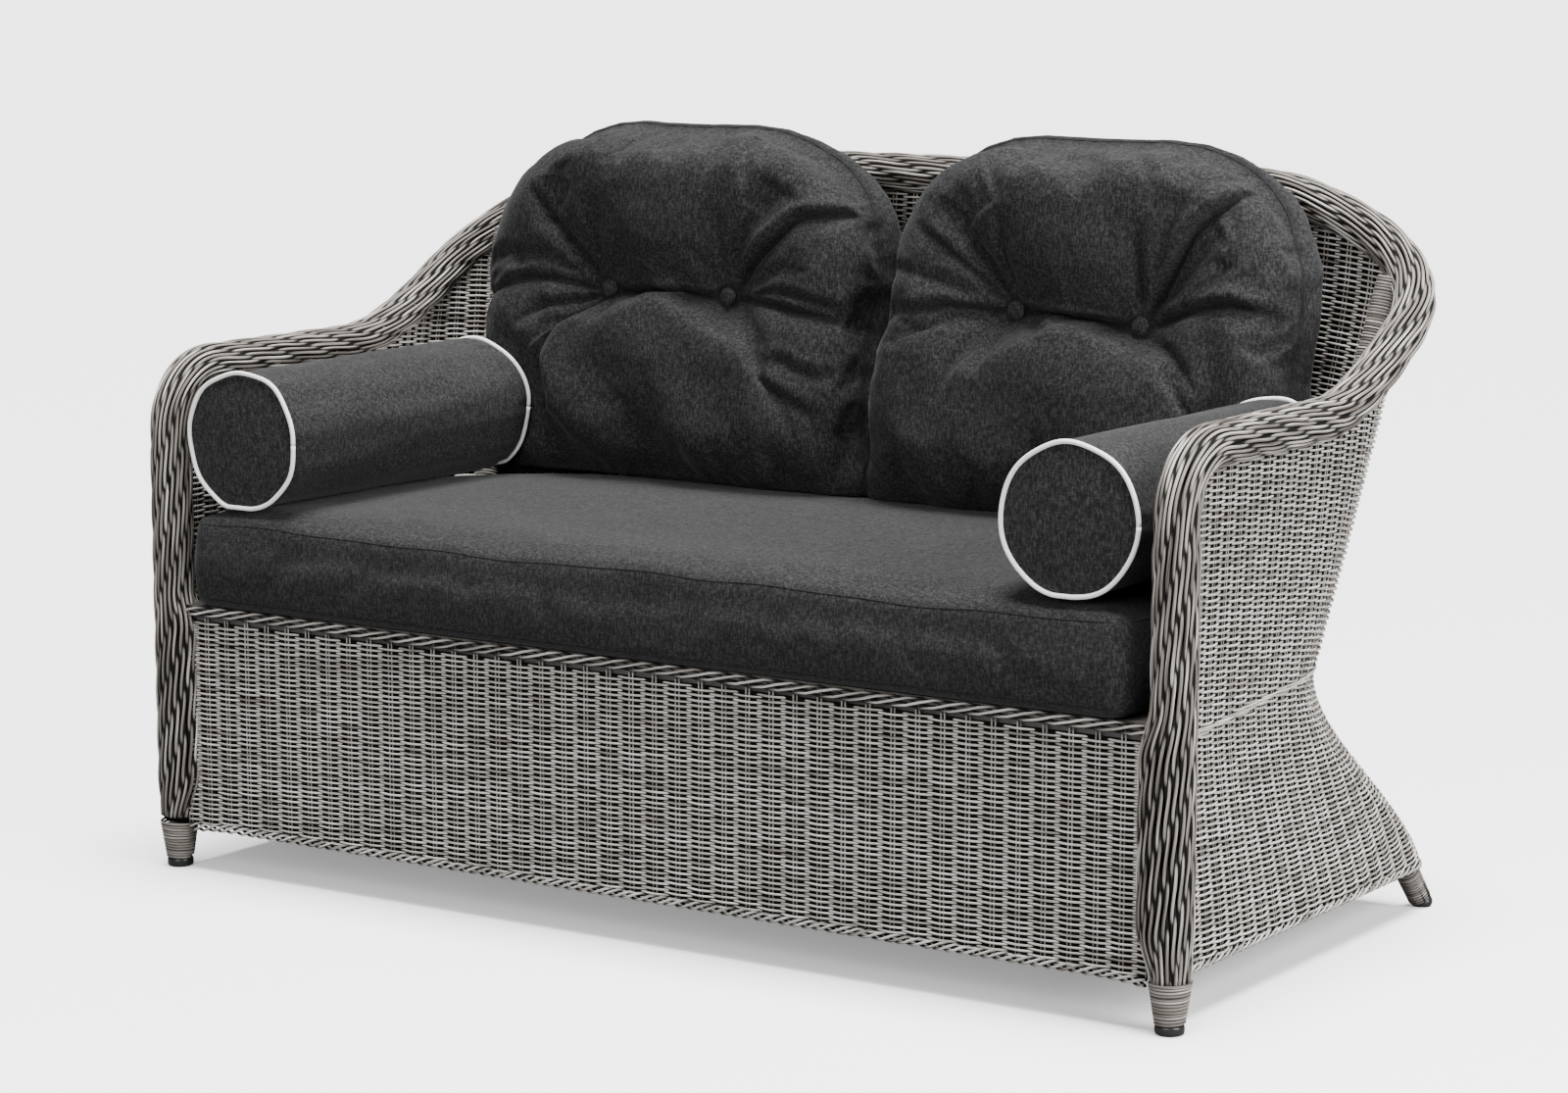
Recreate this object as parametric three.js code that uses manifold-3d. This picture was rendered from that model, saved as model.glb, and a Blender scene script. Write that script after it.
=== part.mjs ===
// A two-seat garden sofa: round wicker woven on a frame of bent aluminium tube, with a box seat
// cushion, two buttoned back cushions and two piped bolsters, all loose.
// Millimetres, +Z up. X runs along the seat and the front faces -Y. The origin lies on the ground
// under the middle of the sofa. While it is built, Y is measured back from the front posts' axes.
import * as THREE from 'three';
import { mergeVertices } from 'three/addons/utils/BufferGeometryUtils.js';
import Module from 'manifold-3d';

const wasm = await Module();
wasm.setup();

// Fits
const gap = 0.4;                       // clearance between pieces that seat on each other
const overrun = 5;                     // how far a cutter passes a face that it cuts
const weldDistance = 0.001;            // corners closer than this are one corner
const settleRounds = 8;                // steps in which a loose cushion is let down onto the seat

// Frame line: the posts, the arm rail and the back rail follow one bent tube
const postX = 690;                     // from the middle of the sofa to a front post's axis
const railBackY = 651;                 // from the front posts back to the back rail's axis
const railCornerRadius = 115;          // bend of the rail round each rear corner, seen from above
const bendRadius = 70;                 // bend from post to arm, seen from the side
const armZ = 615;                      // height of the arm rail's axis
const backZ = 839;                     // height of the back rail's axis
const riseStartY = 325;                // how far behind the post the arm starts to climb
const riseOverBackLength = 133;        // how far past the corner it is still climbing
const railStraightLength = 24;         // the tube runs straight this far at each of its joints
const tubeRadius = 14;
const tubeWallThickness = 1.6;
const tubeSides = 8;
const rollRadius = 25;                 // the plaited roll round arm and back tubes
const rollSides = 14;

// Front posts under the roll
const postRadius = 26;
const postSwellWidth = 5;              // the plait below the seat is wider and sits further in
const postSwellDepth = 1.5;
const postShiftX = 5;
const swellTopZ = 350;
const swellFullZ = 295;
const ankleZ = 115;                    // below this the post draws in to the leg wrap
const postSides = 16;

// Woven body
const bodySideDepth = 14;              // middle of the weave at the arms, in from the rail's axis
const skirtFlareWidth = 8;             // the sides stand this much wider at the bottom edge
const weaveThickness = 8;              // thickness of a woven wall
const skirtRows = 3;                   // facets of a wall below the waist
const bodyRows = 4;                    // and above it
const sideStakes = 20;                 // upright stakes from a front post back to the rear leg
const backStakes = 22;                 // and from there to the middle of the back
const apronStakes = 42;
const heightRounds = 4;                // passes that settle where a stake meets the sloping arm
const stakeReliefDepth = 2;            // how far each face of a wall draws in between its stakes
const skirtZ = 57;                     // bottom edge of the weave
const waistZ = 318;
const skirtBackDepth = 6;              // the back seen from the side, in from the rail's axis:
const waistBackDepth = 93;             // out at the bottom, in at the waist
const crownBackDepth = 2;              // and out again at the top
const flarePower = 1.6;                // how late the back flares below the waist
const leanPower = 1.35;                // how early it leans above the waist
const skirtCornerRadius = 30;          // corner radius of the body seen from above, at the same heights
const waistCornerRadius = 280;
const crownCornerRadius = 88;
const crownCornerZ = 720;              // above this height the corner radius stays the same

// Seat
const deckTopZ = 330;
const apronFaceY = -9;                 // front face of the apron, from the posts' axes
const seatRailRadius = 11;
const supportRadius = 8;
const supportSpacingX = 330;
const skirtRailRadius = 8;
const skirtRailRiseHeight = 15;        // from the weave's bottom edge up to the lower rails' axes
const skirtRailSlackDepth = 2;         // room for the weave, which leans in above the rail

// Legs
const legRadius = 11;                  // rear leg tube
const legWrapRadius = 16;              // outside of the cane wound on it
const legWrapFootRadius = 14;          // the same just above the glide
const wrapTopZ = 55;
const frontWrapTopRadius = 24;
const frontWrapFootRadius = 17;
const caneTurns = 10;                  // turns of cane on a foot
const caneReliefDepth = 0.9;           // how far each turn stands out
const wrapSides = 12;

// Glides
const glideHeight = 10;
const glideChamferLength = 4;
const glideStemLength = 22;            // the part pressed up into the tube
const glideSides = 16;
const spigotLength = 90;               // plugs joining arm tubes to the back tube, half of it in each

// Seat cushion
const seatSideRoom = 15;               // between the cushion and a post's inner side
const seatFrontY = -27;
const seatRearRoom = 15;               // between the cushion and the back at the waist
const seatCushionHeight = 108;         // from the deck to the top seam
const seatCrownHeight = 16;            // rise of the top from seam to middle
const seatEdgeRadius = 10;             // rounding of its long edges
const seatBowDepth = 3;                // how far the walls bulge between the seams
const seatFrontCornerRadius = 22;
const seatCornerRoom = 20;             // its rear corners are rounder than the waist's by this much
const seatCrownPower = 14;             // how late the top falls away to its seam
const seatCrownShares = [0.98, 0.94, 0.88, 0.75, 0.4]; // shares of the way from the middle to the seam

// Back cushions
const backSideRoom = 62;               // between a back cushion and the end of the seat cushion
const backCushionHeight = 450;
const backCushionGap = 6;              // between the two of them
const backEdgeHalfDepth = 27;          // half the boxed edge's thickness
const backCrownDepth = 50;             // how far each face rises over the edge
const backFootDepth = 58;              // from the back's waist to the middle of the cushion's foot
const backLean = 6.5 * Math.PI / 180;
const backTopCornerRadius = 205;
const backFootCornerRadius = 80;
const backPushDepth = 22;              // the outer side is pressed back behind the bolster
const crownPower = 2.6;
const backCrownShares = [0.14, 0.28, 0.42, 0.58, 0.75, 0.9]; // shares of the way from middle to edge
const buttonSpacing = 184;
const buttonRiseHeight = 246;          // from the cushion's foot up to the buttons
const buttonRadius = 11;
const buttonThickness = 7;
const buttonSides = 10;
const buttonSinkDepth = 2;             // how deep a button sits in its dimple
const tuftDepth = 34;
const tuftReachRadius = 62;
const foldDepth = 10;                  // the soft fold that links the two buttons
const foldReachHeight = 45;

// Bolsters
const bolsterRadius = 84;
const bolsterRearRoom = 25;            // between a bolster and the back cushion's boxed edge
const bolsterFrontY = -10;
const bolsterOverhang = 3;             // a bolster stands this far past the seat cushion's side
const bolsterDomeDepth = 5;            // how far the end panels bulge
const bolsterChamferLength = 4;
const bolsterSides = 24;
const pipingRadius = 2.8;
const pipingSides = 6;
const tightFacets = 4;                 // facets round a small corner of a cushion
const wideFacets = 8;

// Sizes that follow from the ones above
const railSideLength = railBackY - railCornerRadius;
const railCornerLength = railCornerRadius * Math.PI / 2;
const riseEnd = railSideLength + railCornerLength + riseOverBackLength;
const bodySideX = postX - bodySideDepth;
const skirtBackY = railBackY - skirtBackDepth;
const waistBackY = railBackY - waistBackDepth;
const crownBackY = railBackY - crownBackDepth;
const railEndX = postX - railCornerRadius - riseOverBackLength - railStraightLength;
const bendStartZ = armZ - bendRadius;
const postTopZ = bendStartZ - railStraightLength;
const backFootY = waistBackY - backFootDepth;
const seatHalfX = postX - postRadius - seatSideRoom;
const seatDepth = waistBackY - weaveThickness / 2 - seatRearRoom - seatFrontY;
const seatRearCornerRadius = waistCornerRadius + seatCornerRoom;
const backCushionWidth = seatHalfX - backSideRoom - backCushionGap / 2;
const bolsterX = seatHalfX + bolsterOverhang - bolsterRadius;
const bolsterLength = backFootY - backEdgeHalfDepth - bolsterRearRoom - bolsterFrontY;
const deckZ = deckTopZ - weaveThickness;
const apronTopZ = deckZ - gap;
const seatRailZ = deckZ - gap - seatRailRadius;
const supportZ = deckZ - gap - supportRadius;
const skirtRailZ = skirtZ + skirtRailRiseHeight;
const apronBackY = apronFaceY + weaveThickness;
const legInset = weaveThickness / 2 + legWrapRadius + gap;
const cushionFootZ = deckTopZ + gap;
const cushionSeamZ = cushionFootZ + seatCushionHeight;
const looseZ = cushionSeamZ + 2 * seatCrownHeight;   // the loose cushions are let down from here

const point = (x, y, z) => new THREE.Vector3(x, y, z);
const mix = THREE.MathUtils.lerp;
const ease = (value, from, to) => THREE.MathUtils.smoothstep(value, from, to);
const steps = (count) => Array.from({ length: count + 1 }, (_, i) => i / count);

// Solids and cuts

function toSolid(geometry) {
  const bare = new THREE.BufferGeometry().setAttribute('position', geometry.getAttribute('position'));
  if (geometry.index) bare.setIndex(geometry.index);
  const welded = mergeVertices(bare, weldDistance);
  return new wasm.Manifold(new wasm.Mesh({
    numProp: 3,
    vertProperties: welded.attributes.position.array,
    triVerts: new Uint32Array(welded.index.array),
  }));
}

function toGeometry(solid) {
  const mesh = solid.getMesh();
  return new THREE.BufferGeometry()
    .setAttribute('position', new THREE.BufferAttribute(Float32Array.from(mesh.vertProperties), 3))
    .setIndex(new THREE.BufferAttribute(Uint32Array.from(mesh.triVerts), 1));
}

function cut(geometry, ...cutters) {
  return toGeometry(cutters.reduce((solid, cutter) => solid.subtract(toSolid(cutter)), toSolid(geometry)));
}

function flipped(geometry) {
  const index = geometry.index.array.slice();
  for (let i = 0; i < index.length; i += 3) [index[i + 1], index[i + 2]] = [index[i + 2], index[i + 1]];
  return geometry.clone().setIndex(new THREE.BufferAttribute(index, 1));
}

// How far down a geometry goes before it rests on a solid below it, one clearance away.
function dropOnto(geometry, solid) {
  const reach = cushionSeamZ;
  let fallen = 0;
  for (let round = 0; round < settleRounds; round++) {
    const lowered = toSolid(geometry.clone().translate(0, 0, -fallen));
    fallen += Math.max(0, lowered.minGap(solid, reach) - gap);
  }
  return fallen;
}

function mirrored(geometry) {
  return flipped(geometry.clone().scale(-1, 1, 1));
}

// A closed body from its corners and its faces of three or four corners, turned to face out.
function body(corners, faces) {
  const index = faces.flatMap(([a, b, c, d]) => (d === undefined ? [a, b, c] : [a, b, c, a, c, d]));
  const geometry = new THREE.BufferGeometry()
    .setAttribute('position', new THREE.Float32BufferAttribute(corners.flatMap((p) => [p.x, p.y, p.z]), 3))
    .setIndex(index);
  return toSolid(geometry).volume() < 0 ? flipped(geometry) : geometry;
}

// A body skinned over rings with the same number of points, closed by a fan at each end.
function skin(rings) {
  const sides = rings[0].length;
  const middle = (ring) => ring.reduce((sum, p) => sum.add(p), point(0, 0, 0)).divideScalar(sides);
  const corners = [...rings.flat(), middle(rings[0]), middle(rings.at(-1))];
  const [startCap, endCap] = [corners.length - 2, corners.length - 1];
  const faces = [];
  for (let side = 0; side < sides; side++) {
    const next = (side + 1) % sides;
    for (let row = 0; row < rings.length - 1; row++) {
      const low = row * sides;
      const high = low + sides;
      faces.push([low + side, low + next, high + next, high + side]);
    }
    const last = (rings.length - 1) * sides;
    faces.push([startCap, next, side], [endCap, last + side, last + next]);
  }
  return body(corners, faces);
}

// A wall between two surfaces, each given by a function of two shares from 0 to 1.
function wall(across, up, outer, inner) {
  const grid = (surface) => steps(across).flatMap((u) => steps(up).map((v) => surface(u, v)));
  const corners = [...grid(outer), ...grid(inner)];
  const inside = (across + 1) * (up + 1);
  const at = (column, row) => column * (up + 1) + row;
  const faces = [];
  for (let column = 0; column < across; column++) {
    for (let row = 0; row < up; row++) {
      const face = [at(column, row), at(column + 1, row), at(column + 1, row + 1), at(column, row + 1)];
      faces.push(face, face.map((corner) => corner + inside).reverse());
    }
    for (const row of [0, up]) {
      const start = at(column, row);
      const end = at(column + 1, row);
      const rim = [start, end, end + inside, start + inside];
      faces.push(row ? rim : rim.reverse());
    }
  }
  for (let row = 0; row < up; row++) {
    for (const column of [0, across]) {
      const start = at(column, row);
      const end = at(column, row + 1);
      const rim = [start, end, end + inside, start + inside];
      faces.push(column ? rim.reverse() : rim);
    }
  }
  return body(corners, faces);
}

// Rings square to a line, carried along it without twist. The radius may change from ring to ring.
function ringsAlong(line, radiusAt, sides) {
  const tangents = line.map((p, i) => line[Math.min(i + 1, line.length - 1)].clone()
    .sub(line[Math.max(i - 1, 0)]).normalize());
  let across = Math.abs(tangents[0].x) > Math.SQRT1_2 ? point(0, 1, 0) : point(1, 0, 0);
  return line.map((centre, i) => {
    across = across.clone().addScaledVector(tangents[i], -across.dot(tangents[i])).normalize();
    const up = tangents[i].clone().cross(across);
    const radius = radiusAt(i);
    return Array.from({ length: sides }, (_, side) => {
      const angle = (side + 0.5) * 2 * Math.PI / sides;
      return centre.clone().addScaledVector(across, radius * Math.cos(angle))
        .addScaledVector(up, radius * Math.sin(angle));
    });
  });
}

const bar = (line, radius, sides = tubeSides) => skin(ringsAlong(line, () => radius, sides));

// The same line, longer at both ends, so that a cutter passes the faces that it cuts.
function longer(line) {
  const [first, second, last, before] = [line[0], line[1], line.at(-1), line.at(-2)];
  const out = (from, to) => to.clone().add(to.clone().sub(from).setLength(overrun));
  return [out(second, first), ...line.slice(1, -1), out(before, last)];
}

// A profile of [radius, height] pairs, turned round the Y axis.
function lathe(profile, sides) {
  return new THREE.LatheGeometry(profile.map(([r, h]) => new THREE.Vector2(r, h)), sides);
}

const tube = (line, radius, sides) => cut(
  bar(line, radius, sides),
  bar(longer(line), radius - tubeWallThickness, sides),
);

// The rail's line

const railRise = (distance) => mix(armZ, backZ, ease(distance, riseStartY, riseEnd));

function railAt(distance) {
  if (distance <= railSideLength) return point(postX, distance, railRise(distance));
  const turned = (distance - railSideLength) / railCornerRadius;
  if (distance <= railSideLength + railCornerLength) {
    return point(
      postX - railCornerRadius * (1 - Math.cos(turned)),
      railSideLength + railCornerRadius * Math.sin(turned),
      railRise(distance),
    );
  }
  const past = distance - railSideLength - railCornerLength;
  return point(postX - railCornerRadius - past, railBackY, railRise(distance));
}

const bendLine = steps(5).map((share) => {
  const turned = share * Math.PI / 2;
  return point(postX, bendRadius * (1 - Math.cos(turned)), bendStartZ + bendRadius * Math.sin(turned));
});
const climbLine = steps(5).map((share) => railAt(mix(riseStartY, railSideLength, share)));
const cornerLine = steps(6).slice(1).map((share) => railAt(railSideLength + railCornerLength * share));
const backLine = steps(3).slice(1).map(
  (share) => railAt(mix(riseEnd - riseOverBackLength, riseEnd, share)),
);
const armLine = [point(postX, 0, postTopZ), ...bendLine, ...climbLine, ...cornerLine, ...backLine,
  point(railEndX, railBackY, backZ)];
const armTubeLine = [point(postX, 0, glideHeight), ...armLine.slice(1)];
const backTubeLine = [point(-railEndX + gap, railBackY, backZ), point(railEndX - gap, railBackY, backZ)];

// The woven body's plan at a height. turn 0 to 1 runs along a side, 1 to 2 round the corner, and
// 2 to 3 along the back to its middle. inset is measured in from the middle of the weave.

function backAt(z) {
  if (z < waistZ) {
    return mix(waistBackY, skirtBackY, ((waistZ - z) / (waistZ - skirtZ)) ** flarePower);
  }
  return mix(waistBackY, crownBackY, 1 - Math.max(0, 1 - (z - waistZ) / (backZ - waistZ)) ** leanPower);
}

function cornerAt(z) {
  return z < waistZ
    ? mix(skirtCornerRadius, waistCornerRadius, ease(z, skirtZ, waistZ))
    : mix(waistCornerRadius, crownCornerRadius, Math.min(1, (z - waistZ) / (crownCornerZ - waistZ)));
}

const sideAt = (z) => bodySideX + skirtFlareWidth * (1 - ease(z, skirtZ, waistZ));

function bodyAt(turn, z, inset) {
  const [side, back, corner] = [sideAt(z), backAt(z), cornerAt(z)];
  if (turn <= 1) return point(side - inset, (back - corner) * turn, z);
  if (turn >= 2) return point((side - corner) * (3 - turn), back - inset, z);
  const turned = (turn - 1) * Math.PI / 2;
  const reach = corner - inset;
  return point(side - corner + reach * Math.cos(turned), back - corner + reach * Math.sin(turned), z);
}

// The turn at a share of the way along the plan from one turn to another, at a height.
function turnBetween(fromTurn, toTurn, share, z) {
  const lengths = [backAt(z) - cornerAt(z), cornerAt(z) * Math.PI / 2, sideAt(z) - cornerAt(z)];
  const within = (value) => Math.min(1, Math.max(0, value));
  const runTo = (turn) => lengths.reduce((run, length, i) => run + length * within(turn - i), 0);
  const run = mix(runTo(fromTurn), runTo(toTurn), share);
  return lengths.reduce((turn, length, i) => turn + within((run - runTo(i)) / length), 0);
}

// Height of the rail's axis above that plan: the weave ends inside the roll.
function railOver(turn) {
  const y = railSideLength * turn;
  if (turn < 1 && y < bendRadius) return bendStartZ + Math.sqrt(bendRadius ** 2 - (bendRadius - y) ** 2);
  if (turn <= 1) return railRise(y);
  if (turn <= 2) return railRise(railSideLength + railCornerLength * (turn - 1));
  return railRise(railSideLength + railCornerLength + (postX - railCornerRadius) * (turn - 2));
}

// Rear legs: they follow the corner of the weave from inside and splay out below it
const legTurn = 1.5;
const legHeights = [skirtZ, ...steps(8).slice(1).map((share) => mix(skirtZ, crownCornerZ, share))];
const legBody = legHeights.map((z) => bodyAt(legTurn, z, legInset));
const legSplay = legBody[0].clone().sub(legBody[1]).divideScalar(legBody[1].z - legBody[0].z);
const legGround = legBody[0].clone().addScaledVector(legSplay, skirtZ);
const legFoot = legBody[0].clone().addScaledVector(legSplay, skirtZ - glideHeight);
const legHead = railAt(railSideLength + railCornerLength * (legTurn - 1));
const legLine = [legFoot, ...legBody, legHead];
const railTubeCutter = bar(longer(armTubeLine), tubeRadius + gap);
const legTubeCutter = bar(legLine, legRadius + gap);
const legWrapCutter = bar([legGround, ...legBody], legWrapRadius + gap, wrapSides);

// Straight frame members
const frontSeatLine = [point(-postX, apronBackY + gap + seatRailRadius, seatRailZ),
  point(postX, apronBackY + gap + seatRailRadius, seatRailZ)];
const seatRingInset = weaveThickness / 2 + gap + seatRailRadius;
const legShare = legRadius / (waistCornerRadius * Math.PI / 2);
const seatRing = (turn) => bodyAt(turn, seatRailZ, seatRingInset);
const sideSeatLine = [point(seatRing(0).x, frontSeatLine[0].y, seatRailZ),
  ...[1, 1.12, 1.24, 1.36, legTurn - legShare].map(seatRing)];
const cornerSeatLine = [legTurn + legShare, 1.64, 1.76, 1.88, 2].map(seatRing);
const rearSeatLine = [...cornerSeatLine, ...cornerSeatLine.map((p) => point(-p.x, p.y, p.z)).reverse()];
const skirtRailInset = weaveThickness / 2 + gap + skirtRailRadius + skirtRailSlackDepth;
const frontSkirtLine = [point(-postX, apronBackY + gap + skirtRailRadius, skirtRailZ),
  point(postX, apronBackY + gap + skirtRailRadius, skirtRailZ)];
const sideSkirtLine = [point(bodyAt(0, skirtRailZ, skirtRailInset).x, frontSkirtLine[0].y, skirtRailZ),
  bodyAt(1, skirtRailZ, skirtRailInset)];
const rearSkirtLine = [1, -1].map((side) => {
  const end = bodyAt(2, skirtRailZ, skirtRailInset);
  return point(end.x * side, end.y, end.z);
});
const supportLine = (x) => [
  point(x, frontSeatLine[0].y, supportZ),
  point(x, backAt(supportZ) - seatRingInset, supportZ),
];

// Wicker

// Front post's plait: round at the arm, and wider and set further in below the seat.
function postRings(grow) {
  const heights = [wrapTopZ + gap, mix(wrapTopZ, ankleZ, 0.5), ankleZ, swellFullZ,
    mix(swellFullZ, swellTopZ, 0.33), mix(swellFullZ, swellTopZ, 0.67), swellTopZ, postTopZ - gap];
  return heights.map((z) => {
    const swell = ease(z, wrapTopZ, ankleZ) * (1 - ease(z, swellFullZ, swellTopZ));
    const drawn = (postRadius - frontWrapTopRadius) * (1 - ease(z, wrapTopZ, ankleZ));
    return Array.from({ length: postSides }, (_, side) => {
      const angle = (side + 0.5) * 2 * Math.PI / postSides;
      return point(
        postX - postShiftX * swell + (postRadius - drawn + postSwellWidth * swell + grow) * Math.cos(angle),
        (postRadius - drawn + postSwellDepth * swell + grow) * Math.sin(angle),
        z,
      );
    });
  });
}

const postCutter = skin(postRings(gap));
const railRollCutter = bar(longer(armLine), rollRadius + gap, rollSides);
const backRollLine = [point(-railEndX + gap, railBackY, backZ), point(railEndX - gap, railBackY, backZ)];
const backRollCutter = bar(longer(backRollLine), rollRadius + gap, rollSides);

function postPlait() {
  const members = [
    [frontSeatLine, seatRailRadius],
    [sideSeatLine, seatRailRadius],
    [frontSkirtLine, skirtRailRadius],
    [sideSkirtLine, skirtRailRadius],
  ];
  const bores = members.map(([line, radius]) => bar(line, radius + gap));
  return cut(skin(postRings(0)), railTubeCutter, ...bores);
}

const armRoll = () => cut(bar(armLine, rollRadius, rollSides), railTubeCutter, legTubeCutter);
const backRoll = () => cut(
  bar(backRollLine, rollRadius, rollSides),
  bar(longer(backRollLine), tubeRadius + gap),
);

// The weave is thickest at a stake and thinnest halfway to the next.
function halfWeaveAt(share, stakes) {
  const between = (1 - Math.cos(2 * Math.PI * share * stakes)) / 2;
  return weaveThickness / 2 - stakeReliefDepth * between;
}

// A woven wall from one turn of the plan to another, up into the roll.
function wovenWall(fromTurn, toTurn, stakes, mirror) {
  const waistShare = skirtRows / (skirtRows + bodyRows);
  const heightAt = (turn, v) => (v < waistShare
    ? mix(skirtZ, waistZ, v / waistShare)
    : mix(waistZ, railOver(turn), (v - waistShare) / (1 - waistShare)));
  const surface = (face) => (u, v) => {
    let turn = mix(fromTurn, toTurn, u);
    for (let i = 0; i < heightRounds; i++) turn = turnBetween(fromTurn, toTurn, u, heightAt(turn, v));
    const p = bodyAt(turn, heightAt(turn, v), face * halfWeaveAt(u, stakes));
    return point(p.x * mirror, p.y, p.z);
  };
  return wall(2 * stakes, skirtRows + bodyRows, surface(-1), surface(1));
}

const sideWeave = () => cut(
  wovenWall(0, legTurn - gap / waistCornerRadius, sideStakes, 1),
  postCutter, railRollCutter, legWrapCutter, bar(legLine, legRadius + gap),
);

function backWeave() {
  const end = legTurn + gap / waistCornerRadius;
  const halves = [1, -1].map((mirror) => toSolid(wovenWall(3, end, backStakes, mirror)));
  const whole = toGeometry(halves[0].add(halves[1]));
  const cutters = [railRollCutter, legWrapCutter, bar(legLine, legRadius + gap)];
  return cut(whole, backRollCutter, ...cutters, ...cutters.map(mirrored));
}

function boxBetween(low, high) {
  const size = high.clone().sub(low);
  const middle = low.clone().add(high).divideScalar(2);
  return new THREE.BoxGeometry(size.x, size.y, size.z).translate(middle.x, middle.y, middle.z);
}

function apron() {
  const middleY = (apronFaceY + apronBackY) / 2;
  const surface = (face) => (u, v) => point(
    mix(-postX, postX, u),
    middleY + face * halfWeaveAt(u, apronStakes),
    mix(skirtZ, apronTopZ, v),
  );
  return cut(wall(2 * apronStakes, 1, surface(-1), surface(1)), postCutter, mirrored(postCutter));
}

// The deck fills the plan at its height, from the apron's face to the back.
function seatDeck() {
  const turns = [0, 1, 1.15, 1.3, 1.45, 1.6, 1.75, 1.9, 2];
  const right = turns.map((turn) => bodyAt(turn, deckZ, weaveThickness / 2 + 2 * gap));
  const front = point(right[0].x, apronFaceY, deckZ);
  const rightSide = [front, ...right.slice(1)];
  const outline = [...rightSide, ...rightSide.map((p) => point(-p.x, p.y, p.z)).reverse()];
  const shape = new THREE.Shape(outline.map((p) => new THREE.Vector2(p.x, p.y)));
  const slab = new THREE.ExtrudeGeometry(shape, { depth: weaveThickness, bevelEnabled: false })
    .translate(0, 0, deckZ);
  return cut(slab, postCutter, mirrored(postCutter), legWrapCutter, mirrored(legWrapCutter));
}

// Cane wound round a leg: each turn stands out a little from the last.
function frontWrap() {
  const foot = glideHeight + gap;
  const rows = Array.from({ length: 2 * caneTurns + 1 }, (_, i) => i / (2 * caneTurns));
  const bore = tubeRadius + gap;
  const profile = rows.map((share, i) => new THREE.Vector2(
    mix(frontWrapFootRadius, frontWrapTopRadius, share ** 0.8) - (i % 2 ? 0 : caneReliefDepth),
    mix(foot, wrapTopZ, share),
  ));
  const closed = [new THREE.Vector2(bore, foot), ...profile, new THREE.Vector2(bore, wrapTopZ)];
  closed.push(closed[0].clone());
  const lathed = new THREE.LatheGeometry(closed, wrapSides).rotateX(Math.PI / 2).translate(postX, 0, 0);
  return toSolid(lathed).volume() < 0 ? flipped(lathed) : lathed;
}

function rearWrap() {
  const rows = 2 * caneTurns;
  const foot = legFoot.clone().addScaledVector(legSplay, -gap);
  const wound = Array.from({ length: rows + 1 }, (_, i) => foot.clone().lerp(legBody[0], i / rows));
  const line = [...wound, ...legBody.slice(1)];
  const radius = (i) => {
    if (i > rows) return legWrapRadius;
    return mix(legWrapFootRadius, legWrapRadius, i / rows) - (i % 2 ? 0 : caneReliefDepth);
  };
  const members = [[sideSeatLine, seatRailRadius], [rearSeatLine, seatRailRadius],
    [sideSkirtLine, skirtRailRadius], [rearSkirtLine, skirtRailRadius]];
  return cut(
    skin(ringsAlong(line, radius, wrapSides)),
    bar(longer(legLine), legRadius + gap),
    ...members.map(([memberLine, size]) => bar(longer(memberLine), size + gap)),
  );
}

// Frame tubes

const bothRailTubes = [railTubeCutter, mirrored(railTubeCutter)];
const bothLegTubes = [legTubeCutter, mirrored(legTubeCutter)];

const armTube = () => tube(armTubeLine, tubeRadius);
const legTube = () => cut(tube(legLine, legRadius), railTubeCutter);
const frontSeatRail = () => cut(tube(frontSeatLine, seatRailRadius), ...bothRailTubes);
const sideSeatRail = () => cut(tube(sideSeatLine, seatRailRadius), railTubeCutter, legTubeCutter,
  bar(frontSeatLine, seatRailRadius + gap));
const rearSeatRail = () => cut(tube(rearSeatLine, seatRailRadius), ...bothLegTubes);
const support = (x) => cut(
  tube(supportLine(x), supportRadius),
  bar(frontSeatLine, seatRailRadius + gap),
  bar(rearSeatLine, seatRailRadius + gap),
);
const frontSkirtRail = () => cut(tube(frontSkirtLine, skirtRailRadius), ...bothRailTubes);
const sideSkirtRail = () => cut(tube(sideSkirtLine, skirtRailRadius), railTubeCutter, legTubeCutter,
  bar(frontSkirtLine, skirtRailRadius + gap));
const rearSkirtRail = () => cut(tube(rearSkirtLine, skirtRailRadius), ...bothLegTubes);
const boreOf = (radius) => (radius - tubeWallThickness) * Math.cos(Math.PI / tubeSides) - gap;
const spigot = () => bar(
  [point(railEndX - spigotLength / 2, railBackY, backZ),
    point(railEndX + railStraightLength, railBackY, backZ)],
  boreOf(tubeRadius),
  glideSides,
);

// A glide: a plug with a dished foot, along a leg's axis, cut level with the ground.
function glide(outer, stem, foot, axis) {
  const turn = new THREE.Quaternion().setFromUnitVectors(point(0, 1, 0), axis);
  const profile = [[0, -overrun], [outer - glideChamferLength, -overrun], [outer - glideChamferLength, 0],
    [outer, glideChamferLength], [outer, glideHeight - gap], [stem, glideHeight - gap],
    [stem, glideHeight + glideStemLength], [0, glideHeight + glideStemLength]];
  const plug = lathe(profile, glideSides).applyQuaternion(turn)
    .translate(foot.x, foot.y, foot.z);
  const out = toSolid(plug).volume() < 0 ? flipped(plug) : plug;
  const reach = outer + 2 * overrun;
  return cut(out, boxBetween(
    point(foot.x - reach, foot.y - reach, -3 * reach),
    point(foot.x + reach, foot.y + reach, 0),
  ));
}

const frontGlide = () => glide(
  frontWrapFootRadius - caneReliefDepth, boreOf(tubeRadius), point(postX, 0, 0), point(0, 0, 1),
);
const rearGlide = () => glide(
  legWrapFootRadius - caneReliefDepth, boreOf(legRadius), legGround,
  legFoot.clone().sub(legGround).normalize(),
);

// Cushions

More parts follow.
